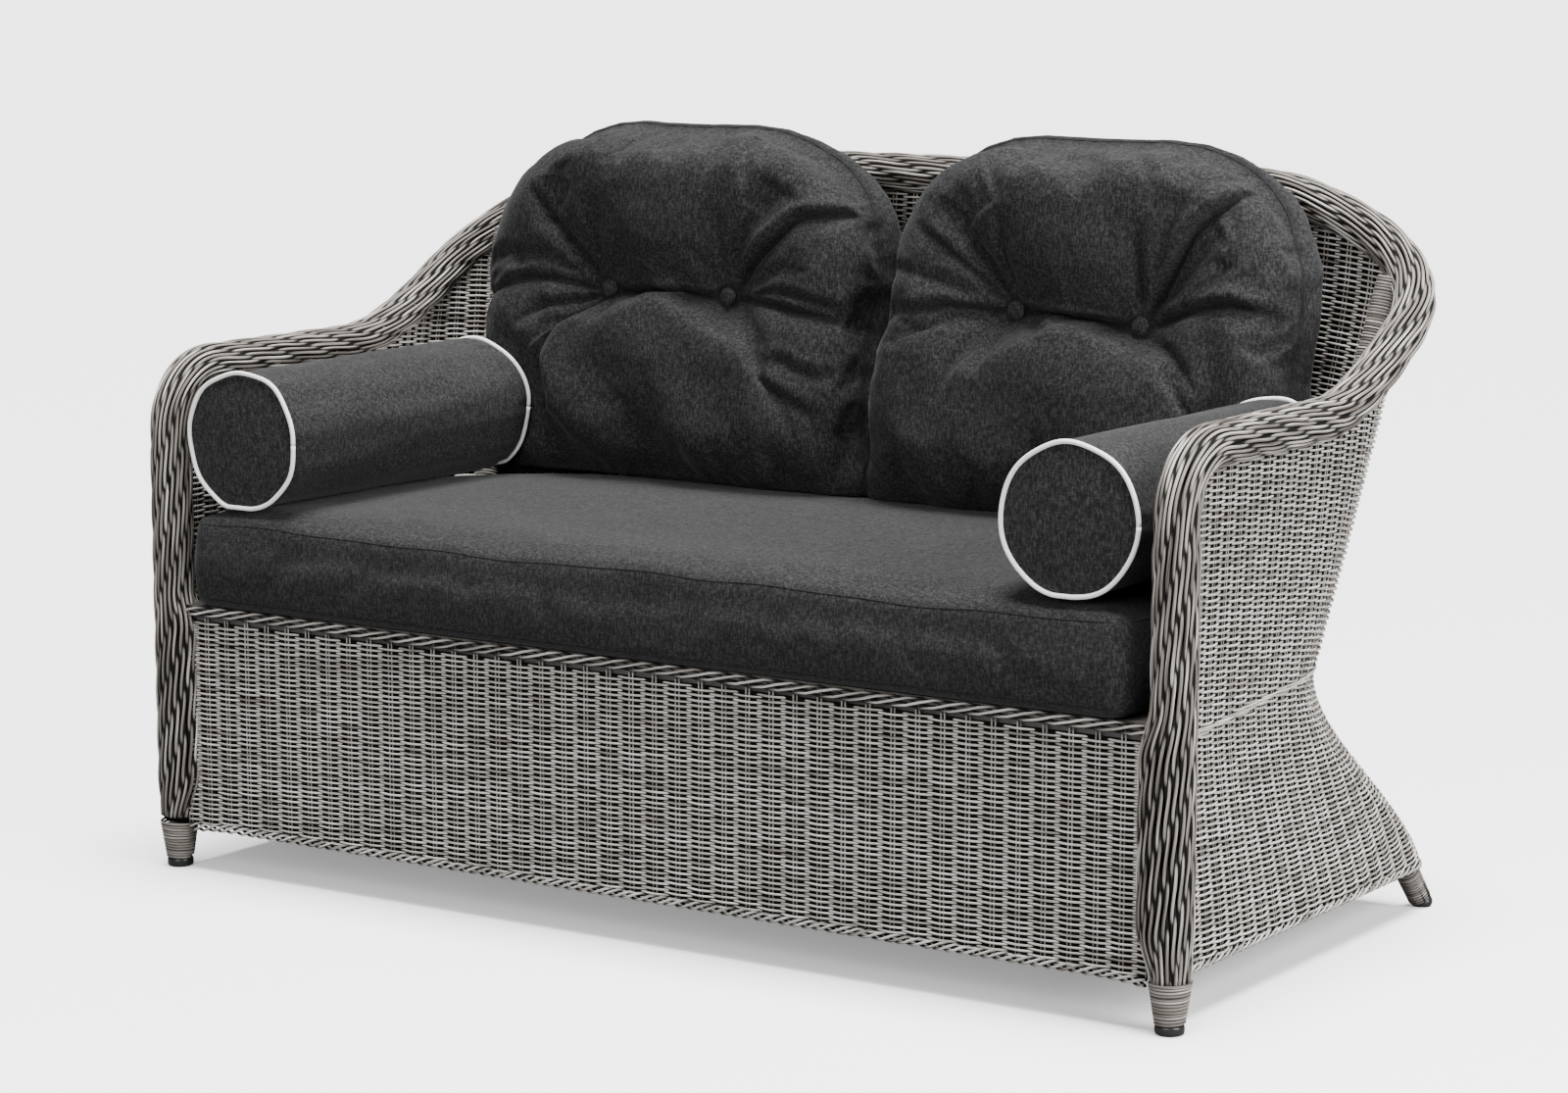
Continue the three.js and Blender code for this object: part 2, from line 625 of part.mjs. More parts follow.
// A rounded rectangle seen from above, as points that run round it, drawn in by an inset.
function seatOutline(inset) {
  const corners = [
    [seatHalfX, seatFrontY, -1, 1, seatFrontCornerRadius, tightFacets],
    [seatHalfX, seatFrontY + seatDepth, -1, -1, seatRearCornerRadius, wideFacets],
    [-seatHalfX, seatFrontY + seatDepth, 1, -1, seatRearCornerRadius, wideFacets],
    [-seatHalfX, seatFrontY, 1, 1, seatFrontCornerRadius, tightFacets],
  ];
  return corners.flatMap(([x, y, inX, inY, radius, facets], corner) => steps(facets).map((share) => {
    const angle = (corner - 1 + share) * Math.PI / 2;
    const reach = radius - Math.min(inset, radius / 2);
    const held = radius - reach;
    const slack = inset - held;
    return new THREE.Vector2(
      x + inX * (radius + slack) + reach * Math.cos(angle),
      y + inY * (radius + slack) + reach * Math.sin(angle),
    );
  }));
}

function seatCushion() {
  const middle = new THREE.Vector2(0, seatFrontY + seatDepth / 2);
  const level = (z, inset) => seatOutline(inset).map((p) => point(p.x, p.y, z));
  const half = cushionFootZ + seatCushionHeight / 2;
  const crownFootZ = cushionSeamZ + seatEdgeRadius / 4;
  const walls = [
    level(cushionFootZ, seatEdgeRadius),
    level(cushionFootZ + seatEdgeRadius / 2, seatEdgeRadius / 4),
    level(cushionFootZ + seatEdgeRadius, 0),
    level(half, -seatBowDepth),
    level(cushionSeamZ - seatEdgeRadius / 4, 0),
    level(crownFootZ, seatEdgeRadius / 4),
  ];
  const crown = seatCrownShares.map((share) => seatOutline(seatEdgeRadius / 4).map((p) => {
    const q = middle.clone().lerp(p, share);
    const rise = (seatCrownHeight - seatEdgeRadius / 4) * (1 - share ** seatCrownPower);
    return point(q.x, q.y, crownFootZ + rise);
  }));
  return skin([...walls, ...crown]);
}

// A back cushion's outline: flat foot, wide round shoulders. x is from its middle, z from its foot.
function backOutline() {
  const halfWidth = backCushionWidth / 2;
  const corners = [
    [halfWidth, 0, -1, 1, backFootCornerRadius, tightFacets],
    [halfWidth, backCushionHeight, -1, -1, backTopCornerRadius, wideFacets],
    [-halfWidth, backCushionHeight, 1, -1, backTopCornerRadius, wideFacets],
    [-halfWidth, 0, 1, 1, backFootCornerRadius, tightFacets],
  ];
  return corners.flatMap(([x, z, inX, inZ, radius, facets], corner) => steps(facets).map((share) => {
    const angle = (corner - 1 + share) * Math.PI / 2;
    return new THREE.Vector2(
      x + inX * radius + radius * Math.cos(angle),
      z + inZ * radius + radius * Math.sin(angle),
    );
  }));
}

// How far the buttons draw a face in at a point of the cushion.
function tuftAt(x, z) {
  const dz = z - buttonRiseHeight;
  const dimples = [-1, 1].map((side) => Math.hypot(x - side * buttonSpacing / 2, dz));
  const dimple = Math.max(...dimples.map((distance) => Math.exp(-((distance / tuftReachRadius) ** 2))));
  const inner = 1 - ease(Math.abs(x), buttonSpacing / 2, backCushionWidth / 2);
  const fold = inner * Math.exp(-((dz / foldReachHeight) ** 2));
  return tuftDepth * dimple + foldDepth * fold * (1 - dimple);
}

// The cushion's own surface in the sofa: face -1 is its front, 1 its back. side 1 is the right cushion.
function cushionPoint(x, z, halfThickness, face, side) {
  const outerShare = Math.max(0, x * side / (backCushionWidth / 2));
  const flat = point(0, face * halfThickness + backPushDepth * outerShare ** 2, z);
  flat.applyAxisAngle(point(1, 0, 0), -backLean);
  return flat.add(point(side * (backCushionWidth + backCushionGap) / 2 + x, backFootY, looseZ));
}

function halfThicknessAt(x, z, share) {
  if (share === 1) return backEdgeHalfDepth;
  return backEdgeHalfDepth + backCrownDepth * (1 - share ** crownPower) - tuftAt(x, z);
}

function backCushion(side) {
  const outline = backOutline();
  const middle = new THREE.Vector2(0, backCushionHeight / 2);
  const ring = (share, face) => outline.map((p) => {
    const q = middle.clone().lerp(p, share);
    return cushionPoint(q.x, q.y, halfThicknessAt(q.x, q.y, share), face, side);
  });
  const rear = [...backCrownShares, 1].map((share) => ring(share, 1));
  const front = [...backCrownShares, 1].map((share) => ring(share, -1));
  return skin([...rear, ...front.reverse()]);
}

// A covered button in its dimple: a low dome on a flat back.
function button(side, which, face, grow) {
  const x = which * buttonSpacing / 2;
  const share = Math.abs(x) / (backCushionWidth / 2);
  const seat = cushionPoint(x, buttonRiseHeight, halfThicknessAt(x, buttonRiseHeight, share), face, side);
  const out = point(0, face, 0).applyAxisAngle(point(1, 0, 0), -backLean);
  const shares = [[0, 0], [0.85, 0], [1, 0.3], [0.75, 0.8], [0, 1]];
  const profile = shares.map(([r, h]) => [
    r * buttonRadius + (r ? grow : 0),
    h * buttonThickness + (h > 0.5 ? grow : h ? 0 : -grow),
  ]);
  const dome = lathe(profile, buttonSides)
    .applyQuaternion(new THREE.Quaternion().setFromUnitVectors(point(0, 1, 0), out))
    .translate(...seat.addScaledVector(out, -buttonSinkDepth).toArray());
  return toSolid(dome).volume() < 0 ? flipped(dome) : dome;
}

const buttonSeats = [-1, 1].flatMap((face) => [-1, 1].map((which) => [which, face]));
const tuftedCushion = (side) => cut(
  backCushion(side),
  ...buttonSeats.map(([which, face]) => button(side, which, face, gap)),
);

// A bolster lies along Y with a piping cord sewn into the edge of each end.
const bolsterZ = looseZ + pipingRadius + bolsterRadius;

function bolster() {
  const profile = [
    [0, -bolsterDomeDepth],
    [bolsterRadius / 2, -bolsterDomeDepth * 0.8],
    [bolsterRadius - bolsterChamferLength, 0],
    [bolsterRadius, bolsterChamferLength],
    [bolsterRadius, bolsterLength - bolsterChamferLength],
    [bolsterRadius - bolsterChamferLength, bolsterLength],
    [bolsterRadius / 2, bolsterLength + bolsterDomeDepth * 0.8],
    [0, bolsterLength + bolsterDomeDepth],
  ];
  const lathed = lathe(profile, bolsterSides).translate(bolsterX, bolsterFrontY, bolsterZ);
  return toSolid(lathed).volume() < 0 ? flipped(lathed) : lathed;
}

function piping(end) {
  const out = (pipingRadius / Math.cos(Math.PI / pipingSides) + gap) * Math.SQRT1_2;
  const y = end ? bolsterLength - bolsterChamferLength / 2 + out : bolsterChamferLength / 2 - out;
  const radius = bolsterRadius - bolsterChamferLength / 2 + out;
  const profile = Array.from({ length: pipingSides + 1 }, (_, i) => {
    const angle = (i % pipingSides) * 2 * Math.PI / pipingSides;
    return [radius + pipingRadius * Math.cos(angle), y + pipingRadius * Math.sin(angle)];
  });
  const ring = lathe(profile, bolsterSides).translate(bolsterX, bolsterFrontY, bolsterZ);
  return toSolid(ring).volume() < 0 ? flipped(ring) : ring;
}

// Materials
function material(color, roughness, metalness) {
  return new THREE.MeshStandardMaterial({ color, roughness, metalness });
}

const wicker = material(0x9b958b, 0.62, 0);
const aluminium = material(0x6f7276, 0.45, 0.9);
const plastic = material(0x151517, 0.5, 0);
const charcoal = material(0x2c2c2f, 0.92, 0);
const whitePiping = material(0xe4e2dd, 0.8, 0);

// Assembly
const sofa = new THREE.Group();

function add(name, geometry, finish) {
  const mesh = new THREE.Mesh(geometry, finish);
  mesh.name = name;
  sofa.add(mesh);
}

function addPair(name, geometry, finish) {
  add(name + '_right', geometry, finish);
  add(name + '_left', mirrored(geometry), finish);
}

addPair('arm_tube', armTube(), aluminium);
addPair('rear_leg_tube', legTube(), aluminium);
addPair('hoop_spigot', spigot(), aluminium);
addPair('side_seat_rail', sideSeatRail(), aluminium);
addPair('side_skirt_rail', sideSkirtRail(), aluminium);
add('back_tube', tube(backTubeLine, tubeRadius), aluminium);
add('front_seat_rail', frontSeatRail(), aluminium);
add('rear_seat_rail', rearSeatRail(), aluminium);
add('front_skirt_rail', frontSkirtRail(), aluminium);
add('rear_skirt_rail', rearSkirtRail(), aluminium);
add('seat_support_left', support(-supportSpacingX), aluminium);
add('seat_support_middle', support(0), aluminium);
add('seat_support_right', support(supportSpacingX), aluminium);

addPair('post_plait', postPlait(), wicker);
addPair('arm_roll', armRoll(), wicker);
add('back_roll', backRoll(), wicker);
addPair('side_weave', sideWeave(), wicker);
add('back_weave', backWeave(), wicker);
add('front_apron', apron(), wicker);
add('seat_deck', seatDeck(), wicker);
addPair('front_leg_wrap', frontWrap(), wicker);
addPair('rear_leg_wrap', rearWrap(), wicker);
addPair('front_glide', frontGlide(), plastic);
addPair('rear_glide', rearGlide(), plastic);

// The loose cushions come down onto the seat cushion.
const seat = seatCushion();
const seatSolid = toSolid(seat);
const cushionDrop = dropOnto(backCushion(1), seatSolid);
const bolsterDrops = [bolster(), piping(0), piping(1)].map((piece) => dropOnto(piece, seatSolid));
const bolsterDrop = Math.min(...bolsterDrops);
const settled = (geometry, drop) => geometry.translate(0, 0, -drop);
add('seat_cushion', seat, charcoal);
for (const [side, word] of [[1, 'right'], [-1, 'left']]) {
  add('back_cushion_' + word, settled(tuftedCushion(side), cushionDrop), charcoal);
  for (const [which, face] of buttonSeats) {
    const place = (face < 0 ? 'front' : 'rear') + (which < 0 ? '_a' : '_b');
    add('button_' + word + '_' + place, settled(button(side, which, face, 0), cushionDrop), charcoal);
  }
}
addPair('bolster', settled(bolster(), bolsterDrop), charcoal);
addPair('bolster_piping_front', settled(piping(0), bolsterDrop), whitePiping);
addPair('bolster_piping_rear', settled(piping(1), bolsterDrop), whitePiping);

// The origin goes under the middle of the whole, on the ground.
const extent = new THREE.Box3().setFromObject(sofa);
const centre = extent.getCenter(new THREE.Vector3());
sofa.position.set(-centre.x, -centre.y, -extent.min.z);

export default sofa;
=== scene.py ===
# %% [markdown]
# # A woven garden sofa
# A two-seat sofa of round cane on a bent tube frame, with loose cushions. The frame comes from
# CAD. What is made here is what the eye meets: strands, cloth, piping and light.
# The camera comes first, so that every later step can be judged from where the photo was taken.

# %% Load the frame
import math

import bpy
import numpy as np
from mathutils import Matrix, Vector


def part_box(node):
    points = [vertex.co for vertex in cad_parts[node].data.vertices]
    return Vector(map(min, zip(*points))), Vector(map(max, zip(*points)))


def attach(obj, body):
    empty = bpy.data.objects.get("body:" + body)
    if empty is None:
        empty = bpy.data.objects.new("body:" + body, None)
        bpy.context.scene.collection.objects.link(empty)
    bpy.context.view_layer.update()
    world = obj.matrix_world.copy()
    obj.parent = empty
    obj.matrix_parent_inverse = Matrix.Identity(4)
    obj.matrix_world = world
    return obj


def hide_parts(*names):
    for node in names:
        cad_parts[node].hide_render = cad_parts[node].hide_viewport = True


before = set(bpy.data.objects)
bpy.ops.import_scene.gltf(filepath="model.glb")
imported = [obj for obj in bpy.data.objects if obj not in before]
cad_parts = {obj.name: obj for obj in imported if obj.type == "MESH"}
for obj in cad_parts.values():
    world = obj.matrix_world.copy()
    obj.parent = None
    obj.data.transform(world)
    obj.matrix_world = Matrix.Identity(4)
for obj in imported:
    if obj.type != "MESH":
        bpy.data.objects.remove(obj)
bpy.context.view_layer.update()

MM = 0.001
BACK_SHIFT = -0.32283  # from a depth behind the front posts to the frame's own Y, in metres


def run_along(line):
    """How far along a line of points each of them lies."""
    return np.concatenate([[0], np.cumsum(np.linalg.norm(np.diff(line, axis=0), axis=1))])


def unit(vectors):
    """The same directions with length one."""
    return vectors / np.maximum(np.linalg.norm(vectors, axis=1, keepdims=True), 1e-9)


def select_only(piece):
    """Selects one object and makes it active, so that an operator acts on it alone."""
    bpy.ops.object.select_all(action="DESELECT")
    piece.select_set(True)
    bpy.context.view_layer.objects.active = piece


def face_outwards(piece):
    """Turns all faces of a closed mesh outwards."""
    select_only(piece)
    bpy.ops.object.mode_set(mode="EDIT")
    bpy.ops.mesh.select_all(action="SELECT")
    bpy.ops.mesh.normals_make_consistent(inside=False)
    bpy.ops.object.mode_set(mode="OBJECT")


def plain_material(name):
    """A new material with its node tree and its shader."""
    material = bpy.data.materials.new(name)
    material.use_nodes = True
    return material, material.node_tree, material.node_tree.nodes["Principled BSDF"]


# %% Camera
# A long lens a little above seat height, turned towards the sofa's right end.
bpy.ops.object.camera_add(location=(2.6736, -3.7132 + BACK_SHIFT, 1.1820),
                          rotation=(math.radians(90 - 9.001), 0, math.radians(33.630)))
camera = bpy.context.object
camera.name = "photo_camera"
camera.data.sensor_width = 36
camera.data.lens = 94.5
camera.data.clip_end = 60
bpy.context.scene.camera = camera

# %% [markdown]
# ## Floor and light
# The photo was lit from straight above, through a wide cloth, so the shadow has the outline of the
# sofa's own feet. A sun with a wide disc gives that, the same everywhere on the floor. A weaker light
# comes from the sofa's right, and a weak one from the camera. The floor looks white, but throws little
# light back, because light from below would fill the dark gaps that make a weave look like one.

# %% Floor
bpy.ops.mesh.primitive_plane_add(size=400, location=(0, 0, 0))
floor = bpy.context.object
floor.name = "studio_floor"
floor_white, floor_tree, floor_shader = plain_material("studio_white")
floor_nodes = floor_tree.nodes
floor_shader.inputs["Roughness"].default_value = 0.95
floor_shader.inputs["Specular IOR Level"].default_value = 0.1
seen = floor_nodes.new("ShaderNodeLightPath").outputs["Is Camera Ray"]
tone = floor_nodes.new("ShaderNodeMix")
tone.data_type = "RGBA"
tone.inputs[6].default_value = (0.16, 0.16, 0.16, 1)
tone.inputs[7].default_value = (0.99, 0.99, 0.99, 1)
lift = floor_nodes.new("ShaderNodeMath")
lift.operation = "MULTIPLY"
lift.inputs[1].default_value = 0.34
floor_shader.inputs["Emission Color"].default_value = (1, 1, 1, 1)
link = floor_tree.links.new
link(seen, tone.inputs[0])
link(tone.outputs[2], floor_shader.inputs["Base Color"])
link(seen, lift.inputs[0])
link(lift.outputs[0], floor_shader.inputs["Emission Strength"])
floor.data.materials.append(floor_white)

# %% Light
world = bpy.data.worlds.new("studio_air")
bpy.context.scene.world = world
world.use_nodes = True
world.node_tree.nodes["Background"].inputs["Color"].default_value = (1, 1, 1, 1)
world.node_tree.nodes["Background"].inputs["Strength"].default_value = 0.15

bpy.ops.object.light_add(type="SUN", location=(0, 0, 4), rotation=(0, math.radians(4), 0))
overhead = bpy.context.object
overhead.name = "overhead_cloth"
overhead.data.energy = 10.5
overhead.data.angle = math.radians(32)


def softbox(name, place, target, size, watts):
    """A square area light that faces a point."""
    bpy.ops.object.light_add(type="AREA", location=place)
    lamp = bpy.context.object
    lamp.name = name
    lamp.data.size = size
    lamp.data.energy = watts
    lamp.rotation_euler = (Vector(target) - Vector(place)).to_track_quat("-Z", "Y").to_euler()
    return lamp


softbox("front_light", (0.6, -4.6, 2.6), (0, 0, 0.4), 2.6, 165)
softbox("side_light", (3.4, -0.4, 1.7), (0.4, 0, 0.4), 1.8, 180)

# %% Shape of the woven body
# The same hull as the CAD's: a plan with rounded rear corners that changes with height.
ARM_X, RAIL_BACK, RAIL_CORNER = 690, 651, 115
ARM_Z, BACK_Z, BEND = 615, 839, 70
RISE_FROM, RISE_OVER = 325, 133
SIDE_X, FLARE_X = 676, 8
SKIRT_Z, WAIST_Z = 57, 318
SKIRT_BACK, WAIST_BACK, CROWN_BACK = 645, 558, 649
FLARE_POWER, LEAN_POWER = 1.6, 1.35
SKIRT_CORNER, WAIST_CORNER, CROWN_CORNER, CROWN_Z = 30, 280, 88, 720
RAIL_SIDE = RAIL_BACK - RAIL_CORNER
RAIL_TURN = RAIL_CORNER * math.pi / 2


def smooth(value, low, high):
    share = np.clip((value - low) / (high - low), 0, 1)
    return share * share * (3 - 2 * share)


def hull(turn, z):
    """Points on the middle of the weave: turn 0-1 along the side, 1-2 round the corner, 2-3 behind."""
    low = np.clip((WAIST_Z - z) / (WAIST_Z - SKIRT_Z), 0, 1.2)
    high = np.clip((z - WAIST_Z) / (BACK_Z - WAIST_Z), 0, 1)
    back = np.where(z < WAIST_Z, WAIST_BACK + (SKIRT_BACK - WAIST_BACK) * low ** FLARE_POWER,
                    WAIST_BACK + (CROWN_BACK - WAIST_BACK) * (1 - (1 - high) ** LEAN_POWER))
    corner = np.where(z < WAIST_Z,
                      SKIRT_CORNER + (WAIST_CORNER - SKIRT_CORNER) * smooth(z, SKIRT_Z, WAIST_Z),
                      WAIST_CORNER + (CROWN_CORNER - WAIST_CORNER)
                      * np.clip((z - WAIST_Z) / (CROWN_Z - WAIST_Z), 0, 1))
    side = SIDE_X + FLARE_X * (1 - smooth(z, SKIRT_Z, WAIST_Z))
    angle = np.clip(turn - 1, 0, 1) * math.pi / 2
    x = side - corner + corner * np.cos(angle)
    y = back - corner + corner * np.sin(angle)
    y = np.where(turn < 1, (back - corner) * turn, y)
    x = np.where(turn > 2, (side - corner) * (3 - turn), x)
    return np.stack([x, y, z + 0 * x], -1)


def rail_height(distance):
    return ARM_Z + (BACK_Z - ARM_Z) * smooth(distance, RISE_FROM, RAIL_SIDE + RAIL_TURN + RISE_OVER)


def rail_over(turn):
    """Height of the rail's axis over a place in the plan."""
    run = np.where(turn < 1, turn * RAIL_SIDE,
                   np.where(turn < 2, RAIL_SIDE + (turn - 1) * RAIL_TURN,
                            RAIL_SIDE + RAIL_TURN + (turn - 2) * (ARM_X - RAIL_CORNER)))
    height = rail_height(run)
    start = np.clip(BEND - run, 0, BEND)
    return np.where(run < BEND, ARM_Z - BEND + np.sqrt(BEND ** 2 - start ** 2), height)


# %% [markdown]
# ## Strands
# All the wickerwork is one kind of thing: a round strand that follows a line, over and under others.
# So it is made once, as a function that lays a tube along each line of a list, and everything from
# the weave to the wound feet is made of it. A tube with six sides, shaded smooth, is round enough for
# a strand three millimetres thick, and thousands of them stay light. Modelling them one by one with
# curves would give the same shape, but no room for the small unevenness that makes it look laid by hand.

# %% Laying strands
MAP_WIDTH = 3.4     # the strand's width that the map is drawn for


def strand(points, normals, width, bare=0.2, behind=0.0):
    """One strand: its points and the wall's normals in mm, its diameter, and how bare it lies at each
    point, from 0 where others cover it to 1, on the wall's outside and on its inside."""
    points = np.asarray(points, float)
    both = np.stack([np.broadcast_to(bare, len(points)), np.broadcast_to(behind, len(points))], -1)
    return points, np.broadcast_to(np.asarray(normals, float), points.shape), both, width


def lay(name, pieces, sides=6, squeeze=0.92):
    """One mesh of all the strands, each closed at its ends, with a map in metres along and round it."""
    centres = np.concatenate([p[0] for p in pieces])
    normals = np.concatenate([p[1] for p in pieces])
    bare = np.concatenate([p[2] for p in pieces])
    sizes = np.array([len(p[0]) for p in pieces])
    width = np.repeat([p[3] for p in pieces], sizes)
    starts = np.concatenate([[0], np.cumsum(sizes)[:-1]])
    count = len(centres)
    first = np.zeros(count, bool)
    first[starts] = True
    last = np.roll(first, -1)
    before = np.where(first[:, None], centres, np.roll(centres, 1, 0))
    after = np.where(last[:, None], centres, np.roll(centres, -1, 0))
    along = unit(after - before)
    across = unit(np.cross(along, normals))
    out = np.cross(across, along)
    angles = np.arange(sides) * 2 * math.pi / sides + math.pi / 2
    reach = width[:, None, None] / 2
    rings = (centres[:, None] + across[:, None] * np.cos(angles)[None, :, None] * reach
             + out[:, None] * np.sin(angles)[None, :, None] * reach * squeeze)
    corners = rings.reshape(-1, 3).copy()
    corners[:, 1] += BACK_SHIFT / MM
    here = np.nonzero(~last)[0]
    side = np.arange(sides)
    nxt = (side + 1) % sides
    a = here[:, None] * sides + side
    b = here[:, None] * sides + nxt
    quads = np.stack([a, b, b + sides, a + sides], -1).reshape(-1, 4)
    begin = np.nonzero(first)[0][:, None] * sides + side[::-1]
    end = np.nonzero(last)[0][:, None] * sides + side
    loops = np.concatenate([quads.ravel(), begin.ravel(), end.ravel()])
    caps = len(begin) + len(end)
    loop_start = np.concatenate([np.arange(len(quads)) * 4, len(quads) * 4 + np.arange(caps) * sides])
    mesh = bpy.data.meshes.new(name)
    mesh.vertices.add(len(corners))
    mesh.vertices.foreach_set("co", (corners * MM).astype(np.float32).ravel())
    mesh.loops.add(len(loops))
    mesh.loops.foreach_set("vertex_index", loops.astype(np.int32))
    mesh.polygons.add(len(loop_start))
    mesh.polygons.foreach_set("loop_start", loop_start.astype(np.int32))
    smooth_faces = np.ones(len(loop_start), bool)
    smooth_faces[len(quads):] = False
    mesh.polygons.foreach_set("use_smooth", smooth_faces)
    step = np.linalg.norm(centres - before, axis=1)
    step[first] = 0
    run = np.cumsum(step)
    number = np.cumsum(first) - 1
    run = run - run[starts][number]
    girth = math.pi * MAP_WIDTH
    u = run + (number * 977.0) % 4000
    v = number * girth * 3.7
    quad_u = np.stack([u[here], u[here], u[here + 1], u[here + 1]], -1)[:, None, :] + np.zeros((1, sides, 1))
    quad_v = v[here][:, None, None] + np.stack([side, side + 1, side + 1, side], -1)[None] * girth / sides
    cap_u = np.repeat(np.concatenate([u[first], u[last]]), sides)
    cap_v = np.repeat(np.concatenate([v[first], v[last]]), sides)
    uv = np.concatenate([np.stack([quad_u.ravel(), quad_v.ravel()], -1), np.stack([cap_u, cap_v], -1)])
    mesh.uv_layers.new(name="along").uv.foreach_set("vector", (uv * MM).astype(np.float32).ravel())
    # Painted shade: 'open' darkens each strand where others cover it and on its flank that faces into the
    # wall.
    lit = np.maximum(bare[:, :1] * (0.5 + 0.5 * np.sin(angles)), bare[:, 1:] * (0.5 - 0.5 * np.sin(angles)))
    mesh.attributes.new("open", "FLOAT", "POINT").data.foreach_set("value", lit.astype(np.float32).ravel())
    mesh.update(calc_edges=True)
    piece = bpy.data.objects.new(name, mesh)
    bpy.context.scene.collection.objects.link(piece)
    print(name, len(quads) * 2 + caps * (sides - 2), "triangles")
    return piece


def mirrored(pieces):
    """The same strands on the sofa's other side."""
    other = np.array([-1, 1, 1])
    return [(p * other, n * other, s, w) for p, n, s, w in pieces]


def finish(piece, body, slot, material, *replaced):
    """Gives a piece its body, its material and the nodes that it stands for. The slot is not used."""
    piece.data.materials.clear()
    piece.data.materials.append(material)
    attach(piece, body)
    if replaced:
        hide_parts(*replaced)


def uneven(rng, count, spacing, size):
    """A slow random drift along a strand."""
    knots = np.arange(0, count + spacing, spacing)
    return np.interp(np.arange(count), knots, rng.normal(0, size, len(knots)))


# %% [markdown]
# ## Materials
# Each finish is worked out from numbers that travel with the mesh, so that it looks the same from
# everywhere. Cane is weathered: it is pale, with grey and brown streaks that run along the strand.
# Where the next strand covers it, and on its side that faces into the wall, its colour is painted dark:
# that is painted shade, kept as an attribute on the points, because the shade between strands is finer than
# lamps can show.

# %% Helpers for shader nodes
def new_group(name, inputs, outputs):
    """An empty shader node group with its sockets: {name: (kind, value)} in, {name: kind} out."""
    tree = bpy.data.node_groups.new(name, "ShaderNodeTree")
    kinds = {"value": "NodeSocketFloat", "color": "NodeSocketColor", "vector": "NodeSocketVector"}
    for label, (kind, value) in inputs.items():
        socket = tree.interface.new_socket(label, in_out="INPUT", socket_type=kinds[kind])
        if value is not None:
            socket.default_value = value
    for label, kind in outputs.items():
        tree.interface.new_socket(label, in_out="OUTPUT", socket_type=kinds[kind])
    return tree, tree.nodes.new("NodeGroupInput"), tree.nodes.new("NodeGroupOutput")


def node(tree, kind, settings=None, **values):
    """A node with its settings and its inputs: a value is set, and a socket is linked."""
    made = tree.nodes.new(kind)
    for key, value in (settings or {}).items():
        setattr(made, key, value)
    for key, value in values.items():
        socket = made.inputs[int(key[1:])] if key[0] == "i" and key[1:].isdigit() else made.inputs[key]
        if isinstance(value, bpy.types.NodeSocket):
            tree.links.new(value, socket)
        else:
            socket.default_value = value
    return made


def math_node(tree, operation, first, second=0.0, third=0.0, clamp=False):
    return node(tree, "ShaderNodeMath", {"operation": operation, "use_clamp": clamp},
                i0=first, i1=second, i2=third).outputs[0]


def between_limits(tree, value, low, high, smooth_ends=False):
    """0 below the lower limit and 1 above the upper one."""
    kind = "SMOOTHSTEP" if smooth_ends else "LINEAR"
    return node(tree, "ShaderNodeMapRange", {"interpolation_type": kind}, Value=value,
                **{"From Min": low, "From Max": high}).outputs[0]


def blend_color(tree, share, first, second):
    """The first colour where the share is 0, and the second where it is 1."""
    made = tree.nodes.new("ShaderNodeMix")
    made.data_type = "RGBA"
    for index, value in ((0, share), (6, first), (7, second)):
        if isinstance(value, bpy.types.NodeSocket):
            tree.links.new(value, made.inputs[index])
        else:
            made.inputs[index].default_value = value
    return made.outputs[2]


def stretched(tree, coordinates, scale):
    return node(tree, "ShaderNodeMapping", None, Vector=coordinates, Scale=scale).outputs["Vector"]


def noise(tree, coordinates, scale, detail=2.0, roughness=0.5):
    made = node(tree, "ShaderNodeTexNoise", None, Vector=coordinates, Scale=scale, Detail=detail,
                Roughness=roughness)
    return made.outputs["Fac"]


# %% Weathered cane
# Painted shade: the near-black colour that cane takes where other strands cover it.
CANE_PAINTED_SHADE = (0.004, 0.0035, 0.003, 1)
cane_tree, cane_in, cane_out = new_group(
    "weathered_cane",
    {"Coordinates": ("vector", None), "Open": ("value", 1.0), "Pale": ("color", (0.70, 0.67, 0.63, 1)),
     "Mid": ("color", (0.27, 0.245, 0.22, 1)), "Deep": ("color", (0.055, 0.045, 0.038, 1)),
     "Shift": ("value", 0.0)},
    {"Color": "color", "Roughness": "value", "Height": "value"})
coordinates = cane_in.outputs["Coordinates"]
patches = noise(cane_tree, stretched(cane_tree, coordinates, (7.0, 95.0, 1.0)), 1.0, 2.0, 0.6)
fibres = noise(cane_tree, stretched(cane_tree, coordinates, (38.0, 2400.0, 1.0)), 1.0, 3.0, 0.6)
tone = math_node(cane_tree, "MULTIPLY_ADD", patches, 1.5, -0.28)
tone = math_node(cane_tree, "ADD", tone, cane_in.outputs["Shift"])
tone = math_node(cane_tree, "ADD", tone, math_node(cane_tree, "MULTIPLY", fibres, 0.22), clamp=True)
brown = blend_color(cane_tree, between_limits(cane_tree, tone, 0.1, 0.5),
                    cane_in.outputs["Deep"], cane_in.outputs["Mid"])
worn = blend_color(cane_tree, between_limits(cane_tree, tone, 0.42, 0.78), brown, cane_in.outputs["Pale"])
